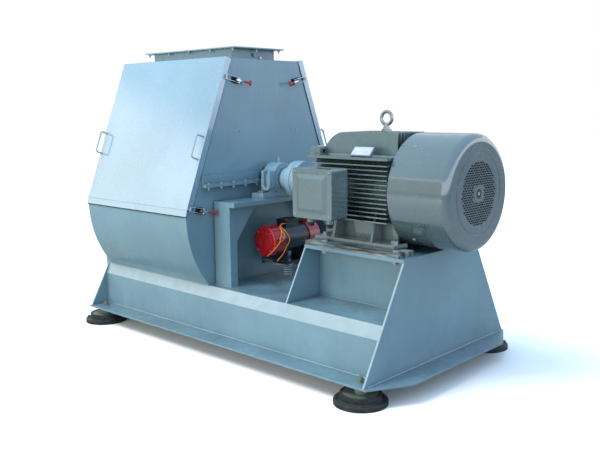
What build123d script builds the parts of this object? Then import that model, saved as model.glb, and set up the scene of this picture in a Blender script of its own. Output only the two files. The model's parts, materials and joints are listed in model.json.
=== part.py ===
from build123d import *

import os
from math import atan2, cos, degrees, radians, sin, sqrt

# Hammer mill with a direct-coupled motor on one welded base.
# Frame: +X runs along the rotor axis to the motor, -Y is the front, +Z is up.
# Origin: on the floor, midway along the base and on its middle plane. Units: mm.

os.makedirs("parts", exist_ok=True)

# ---------------------------------------------------------------- driving dimensions
SHAFT_Z = 1090.0            # height of the rotor and motor axis
HALF_LENGTH = 1300.0        # base, middle to the outer face of an end plate
BOTTOM_HALF = 725.0         # half width of the base at its bottom flange
SIDE_HALF = 582.0           # half width over the base's side plates
DECK_HALF = 550.0           # half width of the deck
DECK_Z = 415.0              # top of the deck
SHOULDER_Z = 340.0          # where the side plates lean in towards the deck
FOOT_HEIGHT = 103.0         # floor to the underside of the bottom plate
FOOT_X = 1220.0
FOOT_Y = 650.0
PLATE = 12.0                # base plate thickness
SIDE_PLATE = 10.0
CASE_X0 = -1264.0           # outer faces of the casing's two end plates
CASE_X1 = -131.0
CASE_PLATE = 10.0
BELLY_R = 726.0             # outer radius of the round lower casing
BELLY_Z = 890.0             # height of the belly's centre line
SPLIT_Z = 1073.0            # joint between the lower and the upper casing
TOP_Z = 1886.0              # top of the upper casing
DOOR_FOLD = (-722.0, 932.0)   # front door: y and z of the fold above its lower lip
DOOR_TOP = (-358.0, 1895.0)   # front door: y and z of its top edge
DOOR_SHEET = 4.0
SEAL = 8.0                  # thickness of the door seal
STAND_X = 575.0             # motor stand, outer face of its mill-side plate
STAND_HALF = 380.0
STAND_Z = 727.0
RAIL_Z = 747.0              # underside of the motor rails
MOTOR_FEET_Z = 775.0
TIP_R = 560.0               # hammer tip radius
DISC_R = 390.0
PIN_CIRCLE = 350.0
PIN_R = 15.0
VIB_X = 58.0                # vibration motor, axis along Y
VIB_Z = 686.0
FAR_X = -1524.0             # far end of the bottom plate, as far out as the motor cowl

BOTTOM_TOP = FOOT_HEIGHT + PLATE
CASE_MID = (CASE_X0 + CASE_X1) / 2
FAR_PLANE = Plane.YZ.offset(CASE_MID)
ALONG_X = Rot(0, 90, 0)
ALONG_Y = Rot(-90, 0, 0)
FROM_BASE = (Align.CENTER, Align.CENTER, Align.MIN)
SLOPE = atan2(DOOR_TOP[0] - DOOR_FOLD[0], DOOR_TOP[1] - DOOR_FOLD[1])  # door, from vertical
DOOR_HEIGHT = sqrt((DOOR_TOP[0] - DOOR_FOLD[0]) ** 2 + (DOOR_TOP[1] - DOOR_FOLD[1]) ** 2)


# ---------------------------------------------------------------- helpers
def block(x0, x1, y0, y1, z0, z1):
    """Box between two corners."""
    return Pos((x0 + x1) / 2, (y0 + y1) / 2, (z0 + z1) / 2) * Box(x1 - x0, y1 - y0, z1 - z0)


def prism_x(points, x0, x1):
    """Plate with the (y, z) outline given, from x0 to x1."""
    return Pos(x0, 0, 0) * extrude(Plane.YZ * make_face(Polyline(*points, close=True)), x1 - x0)


def prism_z(points, z0, z1):
    """Plate with the (x, y) outline given, from z0 to z1."""
    return Pos(0, 0, z0) * extrude(make_face(Polyline(*points, close=True)), z1 - z0)


def rod_x(x0, x1, radius, y=0.0, z=SHAFT_Z):
    return Pos(x0, y, z) * ALONG_X * Cylinder(radius, x1 - x0, align=FROM_BASE)


def rod_y(y0, y1, radius, x=0.0, z=0.0):
    return Pos(x, y0, z) * ALONG_Y * Cylinder(radius, y1 - y0, align=FROM_BASE)


def rod_z(z0, z1, radius, x=0.0, y=0.0):
    return Pos(x, y, z0) * Cylinder(radius, z1 - z0, align=FROM_BASE)


def tube_x(x0, x1, outer, inner, y=0.0, z=SHAFT_Z):
    return rod_x(x0, x1, outer, y, z) - rod_x(x0 - 1, x1 + 1, inner, y, z)


def hexagon(across, height):
    """Nut or bolt head standing on z = 0."""
    return extrude(RegularPolygon(across / sqrt(3), 6), height)


def bolt(diameter, grip, length=0.0):
    """Bolt with its nut, as tightened: head on z = 0, shank down through the grip."""
    head = hexagon(1.6 * diameter, 0.65 * diameter)
    shank = Cylinder(diameter / 2, grip + length, align=(Align.CENTER, Align.CENTER, Align.MAX))
    if not length:
        return head + shank
    return head + shank + Pos(0, 0, -grip - 0.8 * diameter) * hexagon(1.6 * diameter, 0.8 * diameter)


def front_and_rear(shape):
    return [shape, mirror(shape, about=Plane.XZ)]


def both_ends(shape):
    return [shape, mirror(shape, about=FAR_PLANE)]


def save(node, *pieces):
    """One STEP per node; a node may be a group of separate solids."""
    solids = []
    for piece in pieces:
        solids += piece.solids()
    export_step(Compound(solids), f"parts/{node}.step")


def door_y(z, inset=0.0):
    """y of the front door's outer plane at height z, moved in by inset along its normal."""
    return DOOR_FOLD[0] + (z - DOOR_FOLD[1]) * sin(SLOPE) / cos(SLOPE) + inset / cos(SLOPE)


# ---------------------------------------------------------------- base
CHUTE_X = (-1228.0, -167.0)  # opening through which the meal falls
CHUTE_Y = 470.0


def base_shell():
    outer = [(-SIDE_HALF, BOTTOM_TOP), (-SIDE_HALF, SHOULDER_Z), (-DECK_HALF, DECK_Z),
             (DECK_HALF, DECK_Z), (SIDE_HALF, SHOULDER_Z), (SIDE_HALF, BOTTOM_TOP)]
    lean = SIDE_PLATE * 0.75
    inner = [(-SIDE_HALF + SIDE_PLATE, BOTTOM_TOP - 1), (-SIDE_HALF + SIDE_PLATE, SHOULDER_Z + 2),
             (-DECK_HALF + lean, DECK_Z - SIDE_PLATE), (DECK_HALF - lean, DECK_Z - SIDE_PLATE),
             (SIDE_HALF - SIDE_PLATE, SHOULDER_Z + 2), (SIDE_HALF - SIDE_PLATE, BOTTOM_TOP - 1)]
    x = HALF_LENGTH - PLATE / 2
    return prism_x(outer, -x, x) - prism_x(inner, -x - 1, x + 1)


def bottom_plate():
    """Flange plate all round, drawn out past both end plates with cut corners."""
    half = BOTTOM_HALF + 3
    outline = [(FAR_X, -440), (-HALF_LENGTH - 11, -half), (HALF_LENGTH + 11, -half), (1445, -482),
               (1445, 482), (HALF_LENGTH + 11, half), (-HALF_LENGTH - 11, half), (FAR_X, 440)]
    return prism_z(outline, FOOT_HEIGHT, BOTTOM_TOP)


def end_plates():
    far = [(-DECK_HALF - 12, DECK_Z), (-BOTTOM_HALF, BOTTOM_TOP), (BOTTOM_HALF, BOTTOM_TOP),
           (DECK_HALF + 12, DECK_Z)]
    near = [(-STAND_HALF, STAND_Z), (-BOTTOM_HALF, BOTTOM_TOP), (BOTTOM_HALF, BOTTOM_TOP),
            (STAND_HALF, STAND_Z)]
    return [prism_x(far, -HALF_LENGTH, -HALF_LENGTH + PLATE),
            prism_x(near, HALF_LENGTH - PLATE, HALF_LENGTH)]


def chute():
    """Walls from the deck opening down to the discharge opening."""
    wall = 8.0
    outer = block(CHUTE_X[0] - wall, CHUTE_X[1] + wall, -CHUTE_Y - wall, CHUTE_Y + wall,
                  BOTTOM_TOP, DECK_Z - SIDE_PLATE)
    return outer - chute_hole()


def chute_hole():
    return block(*CHUTE_X, -CHUTE_Y, CHUTE_Y, 0, DECK_Z + 1)


DISCHARGE_HOLE_R = 9.0
DISCHARGE_PITCH_X = 220.0
DISCHARGE_PITCH_Y = 1010.0


def discharge_holes():
    """Bolt holes in the bottom plate beside the discharge opening, 18 mm."""
    middle = (CHUTE_X[0] + CHUTE_X[1]) / 2
    return [rod_z(0, BOTTOM_TOP + 1, DISCHARGE_HOLE_R, middle + (k - 1.5) * DISCHARGE_PITCH_X,
                  side * DISCHARGE_PITCH_Y / 2)
            for k in range(4) for side in (-1, 1)]


def foot_places():
    return [(sx * FOOT_X, sy * FOOT_Y) for sx in (-1, 1) for sy in (-1, 1)]


def base_frame():
    frame = base_shell() + bottom_plate() + end_plates() + chute()
    frame -= chute_hole()
    frame -= discharge_holes()
    frame -= [rod_z(FOOT_HEIGHT - 1, BOTTOM_TOP + 1, 11, x, y) for x, y in foot_places()]
    return frame


def motor_stand():
    """Two cross webs, two length webs and the thick top plate; the base's end plate closes it."""
    side = [(-STAND_HALF, STAND_Z), (-DECK_HALF, DECK_Z), (DECK_HALF, DECK_Z), (STAND_HALF, STAND_Z)]
    x1 = HALF_LENGTH - PLATE
    stand = prism_x(side, STAND_X - 10, STAND_X)
    stand += [block(STAND_X, x1, y - 5, y + 5, DECK_Z, STAND_Z) for y in (-240, 240)]
    stand += prism_x([(-240, STAND_Z), (-240, DECK_Z), (240, DECK_Z), (240, STAND_Z)], 930, 940)
    stand += block(STAND_X - 10, HALF_LENGTH, -STAND_HALF, STAND_HALF, STAND_Z, RAIL_Z)
    stand -= [rod_z(STAND_Z - 1, RAIL_Z + 1, 11, x, y) for x, y in rail_bolt_places()]
    return stand


# ---------------------------------------------------------------- feet
def rubber_foot():
    """Round mount: wide flange on the floor, raised body with a dished top."""
    profile = Polyline((11, 0), (149, 0), (149, 22), (145, 26), (121, 26), (116, 30), (114, 62),
                       (102, 62), (100, 54), (11, 54), close=True)
    return revolve(Plane.XZ * make_face(profile), Axis.Z)


def feet():
    foot = rubber_foot()
    return [Pos(x, y, 0) * foot for x, y in foot_places()]


def foot_bolts():
    """Stud with nut and washer above the bottom plate, and the stepped steel disc under it."""
    stud = rod_z(20, BOTTOM_TOP + 34, 10) + Pos(0, 0, BOTTOM_TOP + 4) * hexagon(32, 16)
    stud += rod_z(BOTTOM_TOP, BOTTOM_TOP + 4, 22)
    disc = rod_z(54, 59, 99) + rod_z(59, FOOT_HEIGHT, 34) - rod_z(53, FOOT_HEIGHT + 1, 10.2)
    pieces = []
    for x, y in foot_places():
        pieces += [Pos(x, y, 0) * stud, Pos(x, y, 0) * disc]
    return pieces


# ---------------------------------------------------------------- casing
FLANGE_Y = (92.0, 592.0)      # joint flange, from beside the shaft to short of the door
FLANGE_BOLT_Y = [128.0 + 107.0 * k for k in range(5)]
SEAT_IN = SEAL + DOOR_SHEET   # door plane to the casing's door seat
SEAT_BAR = 40.0


def end_outline():
    """Casing end plate: round belly below, sloping sides above."""
    y_deck = sqrt(BELLY_R ** 2 - (BELLY_Z - DECK_Z) ** 2)
    z_side = BELLY_Z - 4
    y_side = sqrt(BELLY_R ** 2 - (BELLY_Z - z_side) ** 2)
    y_seat = door_y(z_side + 2, SEAT_IN)
    y_top = door_y(TOP_Z, SEAT_IN)
    middle = (-BELLY_R * cos(radians(22)), BELLY_Z - BELLY_R * sin(radians(22)))
    left = ThreePointArc((-y_deck, DECK_Z), middle, (-y_side, z_side))
    right = ThreePointArc((y_deck, DECK_Z), (-middle[0], middle[1]), (y_side, z_side))
    sides = Polyline((-y_side, z_side), (y_seat, z_side + 2), (y_top, TOP_Z), (-y_top, TOP_Z),
                     (-y_seat, z_side + 2), (y_side, z_side))
    bottom = Line((-y_deck, DECK_Z), (y_deck, DECK_Z))
    return make_face([left, sides, right, bottom])


def end_plate(x0):
    plate = Pos(x0, 0, 0) * extrude(Plane.YZ * end_outline(), CASE_PLATE)
    return plate - rod_x(x0 - 1, x0 + CASE_PLATE + 1, 76)


def belly():
    """Front half of the round shell, between the end plates."""
    x0, x1 = CASE_X0 + CASE_PLATE, CASE_X1 - CASE_PLATE
    ring = tube_x(x0, x1, BELLY_R, BELLY_R - 10, 0, BELLY_Z)
    return ring & block(x0, x1, -BELLY_R - 1, 0, DECK_Z, BELLY_Z - 4)


def door_seat():
    """Flat bar frame, parallel to the front door, that the seal lies on."""
    x0, x1 = CASE_X0 + CASE_PLATE, CASE_X1 - CASE_PLATE
    place = door_plane()
    half = (x1 - x0) / 2
    u0, u1 = -28.0, DOOR_HEIGHT - 26
    z = -SEAT_IN - 10
    outer = box_on(place, -half, half, u0, u1, z, -SEAT_IN)
    inner = box_on(place, -half + SEAT_BAR, half - SEAT_BAR, u0 + SEAT_BAR, u1 - SEAT_BAR,
                   z - 1, -SEAT_IN + 1)
    return outer - inner


def door_plane():
    """Origin at the middle of the fold, x along the mill, y up the slope, z out of the door."""
    return Plane(origin=(CASE_MID, *DOOR_FOLD), x_dir=(1, 0, 0), z_dir=(0, -cos(SLOPE), sin(SLOPE)))


def box_on(place, s0, s1, u0, u1, n0, n1):
    return place * block(s0, s1, u0, u1, n0, n1)


def joint_flange(z0, z1):
    """Bolt flange along the joint, outside the drive-side end plate, front half."""
    return block(CASE_X1, CASE_X1 + 45, -FLANGE_Y[1], -FLANGE_Y[0], z0, z1)


def casing_body():
    body = end_plate(CASE_X0) + end_plate(CASE_X1 - CASE_PLATE)
    for side in front_and_rear(belly()) + front_and_rear(door_seat()):
        body += side
    return body


def flange_holes():
    """Bolt places of the joint flanges at both ends, front and rear."""
    places = []
    for y in FLANGE_BOLT_Y:
        for sy in (-1, 1):
            places += [(CASE_X1 + 26, sy * y), (CASE_X0 - 26, sy * y)]
    return places


def lower_casing(body):
    low = body & block(-1400, 0, -800, 800, DECK_Z, SPLIT_Z)
    for flange in both_ends(joint_flange(SPLIT_Z - 10, SPLIT_Z)):
        low += front_and_rear(flange)
    low -= [rod_z(SPLIT_Z - 11, SPLIT_Z + 1, 7, x, y) for x, y in flange_holes()]
    slot = block(CASE_X1 - 20, CASE_X1 + 10, -70, 70, BEAM_Z0 - 12, BEAM_Z1 + 12)
    return low - slot


def upper_casing(body):
    high = body & block(-1400, 0, -800, 800, SPLIT_Z, TOP_Z)
    angle = joint_flange(SPLIT_Z, SPLIT_Z + 10)
    angle += block(CASE_X1, CASE_X1 + 8, -FLANGE_Y[1], -FLANGE_Y[0], SPLIT_Z, SPLIT_Z + 65)
    for flange in both_ends(angle):
        high += front_and_rear(flange)
    high -= [rod_z(SPLIT_Z - 1, SPLIT_Z + 11, 7, x, y) for x, y in flange_holes()]
    high += block(CASE_X0 + CASE_PLATE, CASE_X1 - CASE_PLATE, -338, 338, TOP_Z - 10, TOP_Z)
    high -= block(*INLET_X, -INLET_HALF, INLET_HALF, TOP_Z - 11, TOP_Z + 1)
    return high


def casing_bolts():
    one = bolt(12, 20, 18)
    joint = [Pos(x, y, SPLIT_Z + 10) * one for x, y in flange_holes()]
    return joint + lock_bolts()


# ---------------------------------------------------------------- inlet
INLET_X = (-1103.0, -258.0)
INLET_HALF = 194.0
INLET_WALL = 6.0
INLET_FLANGE_X = (-1175.0, -188.0)
INLET_FLANGE_HALF = 236.0
INLET_TOP = 1970.0
INLET_FLANGE_T = 8.0
INLET_PITCH_X = 230.0
INLET_PITCH_Y = 436.0
FLAP_Z = 1925.0
FLAP_R = 12.5
LOCK = (62.0, 1907.0)


def inlet_hole_places():
    """Five holes along each long side of the inlet flange, and one more on each short side."""
    middle = (INLET_FLANGE_X[0] + INLET_FLANGE_X[1]) / 2
    sides = [(middle + (k - 2) * INLET_PITCH_X, sy * INLET_PITCH_Y / 2)
             for k in range(5) for sy in (-1, 1)]
    return sides + [(middle + sx * 2 * INLET_PITCH_X, 0) for sx in (-1, 1)]


def inlet_hopper():
    w = INLET_WALL
    outer = block(INLET_X[0] - w, INLET_X[1] + w, -INLET_HALF - w, INLET_HALF + w, TOP_Z, INLET_TOP)
    outer += block(*INLET_FLANGE_X, -INLET_FLANGE_HALF, INLET_FLANGE_HALF,
                   INLET_TOP - INLET_FLANGE_T, INLET_TOP)
    outer -= block(*INLET_X, -INLET_HALF, INLET_HALF, TOP_Z - 1, INLET_TOP + 1)
    outer -= [rod_z(INLET_TOP - 20, INLET_TOP + 1, 7, x, y) for x, y in inlet_hole_places()]
    outer -= rod_x(INLET_X[0] - 20, INLET_X[1] + 20, FLAP_R + 1, 0, FLAP_Z)
    outer -= [rod_x(x - 10, x + 10, 6.5, *LOCK) for x in INLET_X]
    return outer


def lock_bolts():
    """Bolt beside the flap shaft on the drive side that holds the flap where it is set."""
    head = Pos(INLET_X[1] + INLET_WALL, *LOCK) * ALONG_X * hexagon(20, 8)
    return [head + rod_x(INLET_X[1] - 4, INLET_X[1] + INLET_WALL, 6, *LOCK)]


def feed_flap():
    """Flap on its shaft, with a hand lever outside the far end."""
    flap = rod_x(INLET_X[0] - 48, INLET_X[1] + 20, FLAP_R, 0, FLAP_Z)
    flap += block(INLET_X[0] + 5, INLET_X[1] - 5, -4, 4, FLAP_Z - 175, FLAP_Z - 5)
    lever_x = INLET_X[0] - 40
    flap += block(lever_x - 5, lever_x + 5, 0, 58, FLAP_Z - 9, FLAP_Z + 9)
    flap += rod_x(lever_x - 45, lever_x, 8, 50, FLAP_Z)
    return flap


# ---------------------------------------------------------------- doors
DOOR_HALF = (CASE_X1 - CASE_X0) / 2 + 6   # middle of the door to its outer side face
RETURN = 42.0
LIP = ((-722.0, 932.0), (-732.0, 890.0))
HANDLE_R = 6.0
HANDLE_U = (334.0, 486.0)
HANDLE_OUT = 54.0


def door_handle(s):
    """U-shaped rod welded to the door near its side edge."""
    points = [(HANDLE_U[0], 0), (HANDLE_U[0], HANDLE_OUT), (HANDLE_U[1], HANDLE_OUT), (HANDLE_U[1], 0)]
    path = FilletPolyline(*[(s, u, n) for u, n in points], radius=18)
    return door_plane() * sweep(Plane(origin=path @ 0, z_dir=path % 0) * Circle(HANDLE_R), path=path)


def front_door():
    place = door_plane()
    t = DOOR_SHEET
    door = box_on(place, -DOOR_HALF, DOOR_HALF, 0, DOOR_HEIGHT, -t, 0)
    for s0 in (-DOOR_HALF, DOOR_HALF - t):
        door += box_on(place, s0, s0 + t, 0, DOOR_HEIGHT, -RETURN, 0)
    door += box_on(place, -DOOR_HALF, DOOR_HALF, DOOR_HEIGHT - t, DOOR_HEIGHT, -14, 0)
    lip = [LIP[0], LIP[1], (LIP[1][0] + t, LIP[1][1]), (LIP[0][0] + t + 1, LIP[0][1] + 2)]
    door += prism_x(lip, CASE_MID - DOOR_HALF, CASE_MID + DOOR_HALF)
    for s in (-DOOR_HALF + 26, DOOR_HALF - 26):
        door += door_handle(s)
    for end in both_ends(catch(upper_clamp())) + both_ends(catch(lower_clamp())):
        door += end
    return door


def door_seal():
    place = door_plane()
    half = (CASE_X1 - CASE_X0) / 2 - CASE_PLATE - 4
    u0, u1 = 6.0, DOOR_HEIGHT - 30
    z0, z1 = -SEAT_IN, -DOOR_SHEET
    ring = box_on(place, -half, half, u0, u1, z0, z1)
    return ring - box_on(place, -half + 24, half - 24, u0 + 24, u1 - 24, z0 - 1, z1 + 1)


# ---------------------------------------------------------------- clamps
CLAMP_TILT = 12.6             # degrees below level, running inward from the door edge
LEVER_A, LEVER_C = 100.0, 24.0   # lever pivot, along the clamp and out from the end plate
HOOK_A, HOOK_C = 122.0, 20.5     # hook pivot, just over centre
BAR_A = 12.0                  # hook's cross bar
ROD_R = 2.5
ROD_Y = 15.0                  # hook rods, out from the clamp's middle
EAR_Y = (8.0, 11.0)           # base ears, inside the hook rods
EAR_T = EAR_Y[1] - EAR_Y[0]
GRIP_A, GRIP_C = 200.0, 46.0


def clamp_plane(y, z):
    """x along the clamp, y up across it, z out of the drive-side end plate."""
    tilt = radians(CLAMP_TILT)
    return Plane(origin=(CASE_X1, y, z), x_dir=(0, cos(tilt), -sin(tilt)), z_dir=(1, 0, 0))


def upper_clamp():
    return clamp_plane(-385, 1770)


def lower_clamp():
    return clamp_plane(-716, 940)


def catch(place):
    """Hook plate on the door's side return."""
    out = 6.0
    plate = block(-4, 26, -9, 9, out - 0.5, out + 3)
    plate += block(17, 22, -7, 7, out + 3, 17)
    plate += block(6, 22, -7, 7, 14, 17)
    return place * plate


def rod_across(place, a, c, half, radius):
    return place * Pos(a, 0, c) * Rot(-90, 0, 0) * Cylinder(radius, 2 * half)


def clamp_base(place):
    base = place * block(70, 136, -22, 22, 0, 4)
    for b in (-EAR_Y[1], EAR_Y[0]):
        ear = block(86, 114, b, b + EAR_T, 4, LEVER_C)
        ear += Pos(LEVER_A, b + EAR_T / 2, LEVER_C) * Rot(90, 0, 0) * Cylinder(10, EAR_T)
        base += place * ear
    return base + rod_across(place, LEVER_A, LEVER_C, EAR_Y[1] + 0.5, 3)


def clamp_lever(place):
    lever = place * block(94, 131, -6.5, 6.5, 14, 29)
    lever -= rod_across(place, LEVER_A, LEVER_C, 10, 3.1)
    lever += rod_across(place, HOOK_A, HOOK_C, ROD_Y + 3, ROD_R)
    run, rise = GRIP_A - 126, GRIP_C - 23
    shank = Rot(0, degrees(atan2(run, rise)), 0) * Cylinder(4, sqrt(run ** 2 + rise ** 2), align=FROM_BASE)
    lever += place * Pos(126, 0, 23) * shank
    return lever + rod_across(place, GRIP_A, GRIP_C, 15, 7)


def clamp_hook(place):
    """U-shaped rod with an eye at each end."""
    points = [(HOOK_A - 4, -ROD_Y), (BAR_A, -ROD_Y), (BAR_A, ROD_Y), (HOOK_A - 4, ROD_Y)]
    path = FilletPolyline(*[(a, b, HOOK_C) for a, b in points], radius=6)
    hook = sweep(Plane(origin=path @ 0, z_dir=path % 0) * Circle(ROD_R), path=path)
    for b in (-ROD_Y, ROD_Y):
        hook += Pos(HOOK_A, b, HOOK_C) * Rot(90, 0, 0) * Cylinder(5.5, 2 * ROD_R + 1)
    hook -= Pos(HOOK_A, 0, HOOK_C) * Rot(90, 0, 0) * Cylinder(ROD_R + 0.1, 3 * ROD_Y)
    return place * hook


def clamp_places():
    """Name and a function that puts a drive-side front shape in its place."""
    places = []
    for level, place in (("top", upper_clamp()), ("low", lower_clamp())):
        for side in ("front", "rear"):
            for end in ("drive", "far"):
                places.append((f"{side}_{level}_{end}", place, side == "rear", end == "far"))
    return places


def put(shape, rear, far):
    if rear:
        shape = mirror(shape, about=Plane.XZ)
    if far:
        shape = mirror(shape, about=FAR_PLANE)
    return shape


# ---------------------------------------------------------------- bearings and rotor
BEARING_X = -20.0
PEDESTAL_TOP = 968.0
PEDESTAL_T = 30.0
PEDESTAL_X = (-125.0, 70.0)
LEG_X1 = 25.0
LEG_Y = (437.0, 498.0)
HOUSING_HALF = 55.0
HOUSING_R = 108.0
BEARING_R = 80.0
JOURNAL_R = 45.0


def pedestal_top():
    top = block(*PEDESTAL_X, -LEG_Y[1], LEG_Y[1], PEDESTAL_TOP - PEDESTAL_T, PEDESTAL_TOP)
    return top - [rod_z(PEDESTAL_TOP - 40, PEDESTAL_TOP + 1, 12.2, BEARING_X, y) for y in (-175, 175)]


def pedestal_side(foot_z):
    """Front post with its gusset."""
    under = PEDESTAL_TOP - PEDESTAL_T
    post = block(PEDESTAL_X[0], LEG_X1, -LEG_Y[1], -LEG_Y[0], foot_z, under)
    gusset = prism_x([(-LEG_Y[0], under), (-266, under), (-LEG_Y[0], 711)], 14, 24)
    return post + gusset


def drive_pedestal():
    pedestal = pedestal_top()
    for side in front_and_rear(pedestal_side(DECK_Z)):
        pedestal += side
    return pedestal


def far_pedestal():
    """Same pedestal outside the far end plate; its posts reach down to the bottom plate."""
    pedestal = mirror(drive_pedestal(), about=FAR_PLANE)
    x_out = 2 * CASE_MID - LEG_X1
    for y in (-LEG_Y[1], LEG_Y[0]):
        pedestal += block(x_out, -HALF_LENGTH, y, y + LEG_Y[1] - LEG_Y[0], BOTTOM_TOP, DECK_Z)
    return pedestal


def bearing_housing():
    x0, x1 = BEARING_X - HOUSING_HALF, BEARING_X + HOUSING_HALF
    body = block(x0, x1, -205, 205, PEDESTAL_TOP, PEDESTAL_TOP + 34)
    body += block(x0 + 8, x1 - 8, -125, 125, PEDESTAL_TOP, SHAFT_Z + 8)
    body += rod_x(x0, x1, HOUSING_R)
    body += rod_x(x0 - 8, x1 + 8, 84)
    body += [block(x0 + 20, x1 - 20, y - 22, y + 22, SHAFT_Z - 12, SHAFT_Z + 30) for y in (-104, 104)]
    body += rod_z(SHAFT_Z, SHAFT_Z + HOUSING_R + 14, 9, BEARING_X)
    body -= rod_x(BEARING_X - 24, BEARING_X + 24, BEARING_R + 0.05)
    body -= rod_x(x0 - 9, x1 + 9, JOURNAL_R + 3)
    return body - [rod_z(PEDESTAL_TOP - 1, PEDESTAL_TOP + 40, 13, BEARING_X, y) for y in (-175, 175)]


def rotor_bearing():
    return tube_x(BEARING_X - 20, BEARING_X + 20, BEARING_R, JOURNAL_R + 0.05)


DISC_COUNT = 8
DISC_X0, DISC_X1 = -1205.0, -190.0
DISC_T = 12.0
CORE_R = 65.0
HAMMER_T = 8.0
HAMMER_W = 50.0


def disc_xs():
    pitch = (DISC_X1 - DISC_X0 - DISC_T) / (DISC_COUNT - 1)
    return [DISC_X0 + k * pitch for k in range(DISC_COUNT)]


def rotor_shaft():
    far = 2 * CASE_MID - 75
    return rod_x(far, 188, JOURNAL_R) + rod_x(CASE_X0 - 4, CASE_X1 + 4, CORE_R)


def pin_spots():
    return [(PIN_CIRCLE * cos(radians(a)), PIN_CIRCLE * sin(radians(a))) for a in (0, 90, 180, 270)]


def rotor_discs():
    """Plain discs, each with its hub ring keyed on the shaft."""
    discs = []
    for x in disc_xs():
        disc = rod_x(x, x + DISC_T, DISC_R) + rod_x(x - 14, x + DISC_T + 14, CORE_R + 30)
        disc -= rod_x(x - 15, x + DISC_T + 15, CORE_R + 0.05)
        disc -= [rod_x(x - 1, x + DISC_T + 1, PIN_R + 0.05, y, SHAFT_Z + z) for y, z in pin_spots()]
        discs.append(disc)
    return discs


def hammer_pins():
    return [rod_x(DISC_X0 - 14, DISC_X1 + 14, PIN_R, y, SHAFT_Z + z) for y, z in pin_spots()]


def hammer_row(k):
    """Hammers on one pin; every gap between discs holds two, and rows are staggered."""
    turn = Pos(0, 0, SHAFT_Z) * Rot(90 * k, 0, 0) * Pos(0, 0, -SHAFT_Z)
    shift = 10.0 * (k % 2) - 5.0
    gap = disc_xs()[1] - disc_xs()[0]
    hammers = []
    for x in disc_xs()[:-1]:
        for part in (0.33, 0.67):
            mid = x + DISC_T / 2 + part * gap + shift
            strip = block(mid - HAMMER_T / 2, mid + HAMMER_T / 2, PIN_CIRCLE - HAMMER_W / 2, TIP_R,
                          SHAFT_Z - HAMMER_W / 2, SHAFT_Z + HAMMER_W / 2)
            hole = rod_x(mid - HAMMER_T, mid + HAMMER_T, PIN_R + 0.5, PIN_CIRCLE, SHAFT_Z)
            hammers.append(turn * (strip - hole))
    return hammers


# ---------------------------------------------------------------- coupling
COUPLING_R = 125.0
COUPLING_HUB_R = 75.0
COUPLING_PINS = 6
COUPLING_PIN_CIRCLE = 95.0
MOTOR_SHAFT_R = 40.0
FLANGES = ((150.0, 192.0), (196.0, 238.0))


def coupling_spots():
    angles = [360 / COUPLING_PINS * k for k in range(COUPLING_PINS)]
    return [(COUPLING_PIN_CIRCLE * cos(radians(a)), COUPLING_PIN_CIRCLE * sin(radians(a))) for a in angles]


def coupling_half(flange, hub, bore, hole):
    half = rod_x(*flange, COUPLING_R) + rod_x(*hub, COUPLING_HUB_R)
    half -= rod_x(hub[0] - 200, hub[1] + 200, bore + 0.05)
    return half - [rod_x(flange[0] - 1, flange[1] + 1, hole, y, SHAFT_Z + z) for y, z in coupling_spots()]


def coupling_pin(y, z):
    """Pin with its rubber bush end in the motor half and a nut on the mill side."""
    z += SHAFT_Z
    pin = rod_x(FLANGES[0][0], FLANGES[1][1] - 4, 8, y, z) + rod_x(FLANGES[1][0], FLANGES[1][1] - 4, 13, y, z)
    return pin + Pos(FLANGES[0][0] - 12, y, z) * ALONG_X * hexagon(24, 12)


# ---------------------------------------------------------------- screen and vibrator
SCREEN_R = 578.0
SCREEN_T = 3.0
SCREEN_X = (-1240.0, -155.0)
SCREEN_ANGLE = 96.0           # how far up each side a screen reaches, from straight down
FRAME_R = 600.0
BEAM_Z0, BEAM_Z1 = 502.0, 520.0
SPRING_X, SPRING_Y = 61.0, -8.0
SPRING_R, WIRE_R, SPRING_TURNS = 26.0, 3.0, 5


def wedge(a0, a1, x0, x1, reach):
    """Sector of angles measured from straight down towards the front, as a cutting block."""
    points = [(0.0, SHAFT_Z)]
    for k in range(5):
        a = radians(a0 + (a1 - a0) * k / 4)
        points.append((-reach * sin(a), SHAFT_Z - reach * cos(a)))
    return prism_x(points, x0, x1)


def screen():
    """Front half screen, perforated sheet bent round the rotor's lower half."""
    x0, x1 = SCREEN_X
    sheet = tube_x(x0, x1, SCREEN_R, SCREEN_R - SCREEN_T) & wedge(3, SCREEN_ANGLE, x0, x1, 900)
    slots = []
    rows, columns = 9, 14
    for i in range(rows):
        turn = Pos(0, 0, SHAFT_Z) * Rot(-(9 + 10 * i), 0, 0)
        for j in range(columns):
            x = x0 + (x1 - x0) * (j + 0.5) / columns
            slots.append(Pos(x, 0, 0) * turn * Pos(0, 0, -SCREEN_R) * Box(44, 60, 30))
    return sheet - slots


def screen_frame():
    """Two end hoops, length bars, and the beam that ties the frame to the vibrator."""
    hoops = []
    for x in (SCREEN_X[0], SCREEN_X[1] - 12):
        hoop = tube_x(x, x + 12, FRAME_R, SCREEN_R + 0.1)
        hoops.append(hoop & wedge(-SCREEN_ANGLE, SCREEN_ANGLE, x, x + 12, 900))
    frame = hoops[0] + hoops[1]
    for a in (-93, -56, -19, 19, 56, 93):
        y, z = -590 * sin(radians(a)), SHAFT_Z - 590 * cos(radians(a))
        frame += rod_x(*SCREEN_X, 8, y, z)
    frame += block(SCREEN_X[1], 12, -50, 50, BEAM_Z0, BEAM_Z1)
    frame += block(SCREEN_X[1] - 12, SCREEN_X[1], -50, 50, SHAFT_Z - FRAME_R + 2, SHAFT_Z - FRAME_R + 20)
    return frame


def vibrator_plate():
    return block(12, 140, -100, 100, BEAM_Z0 + 3, BEAM_Z1)


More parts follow.
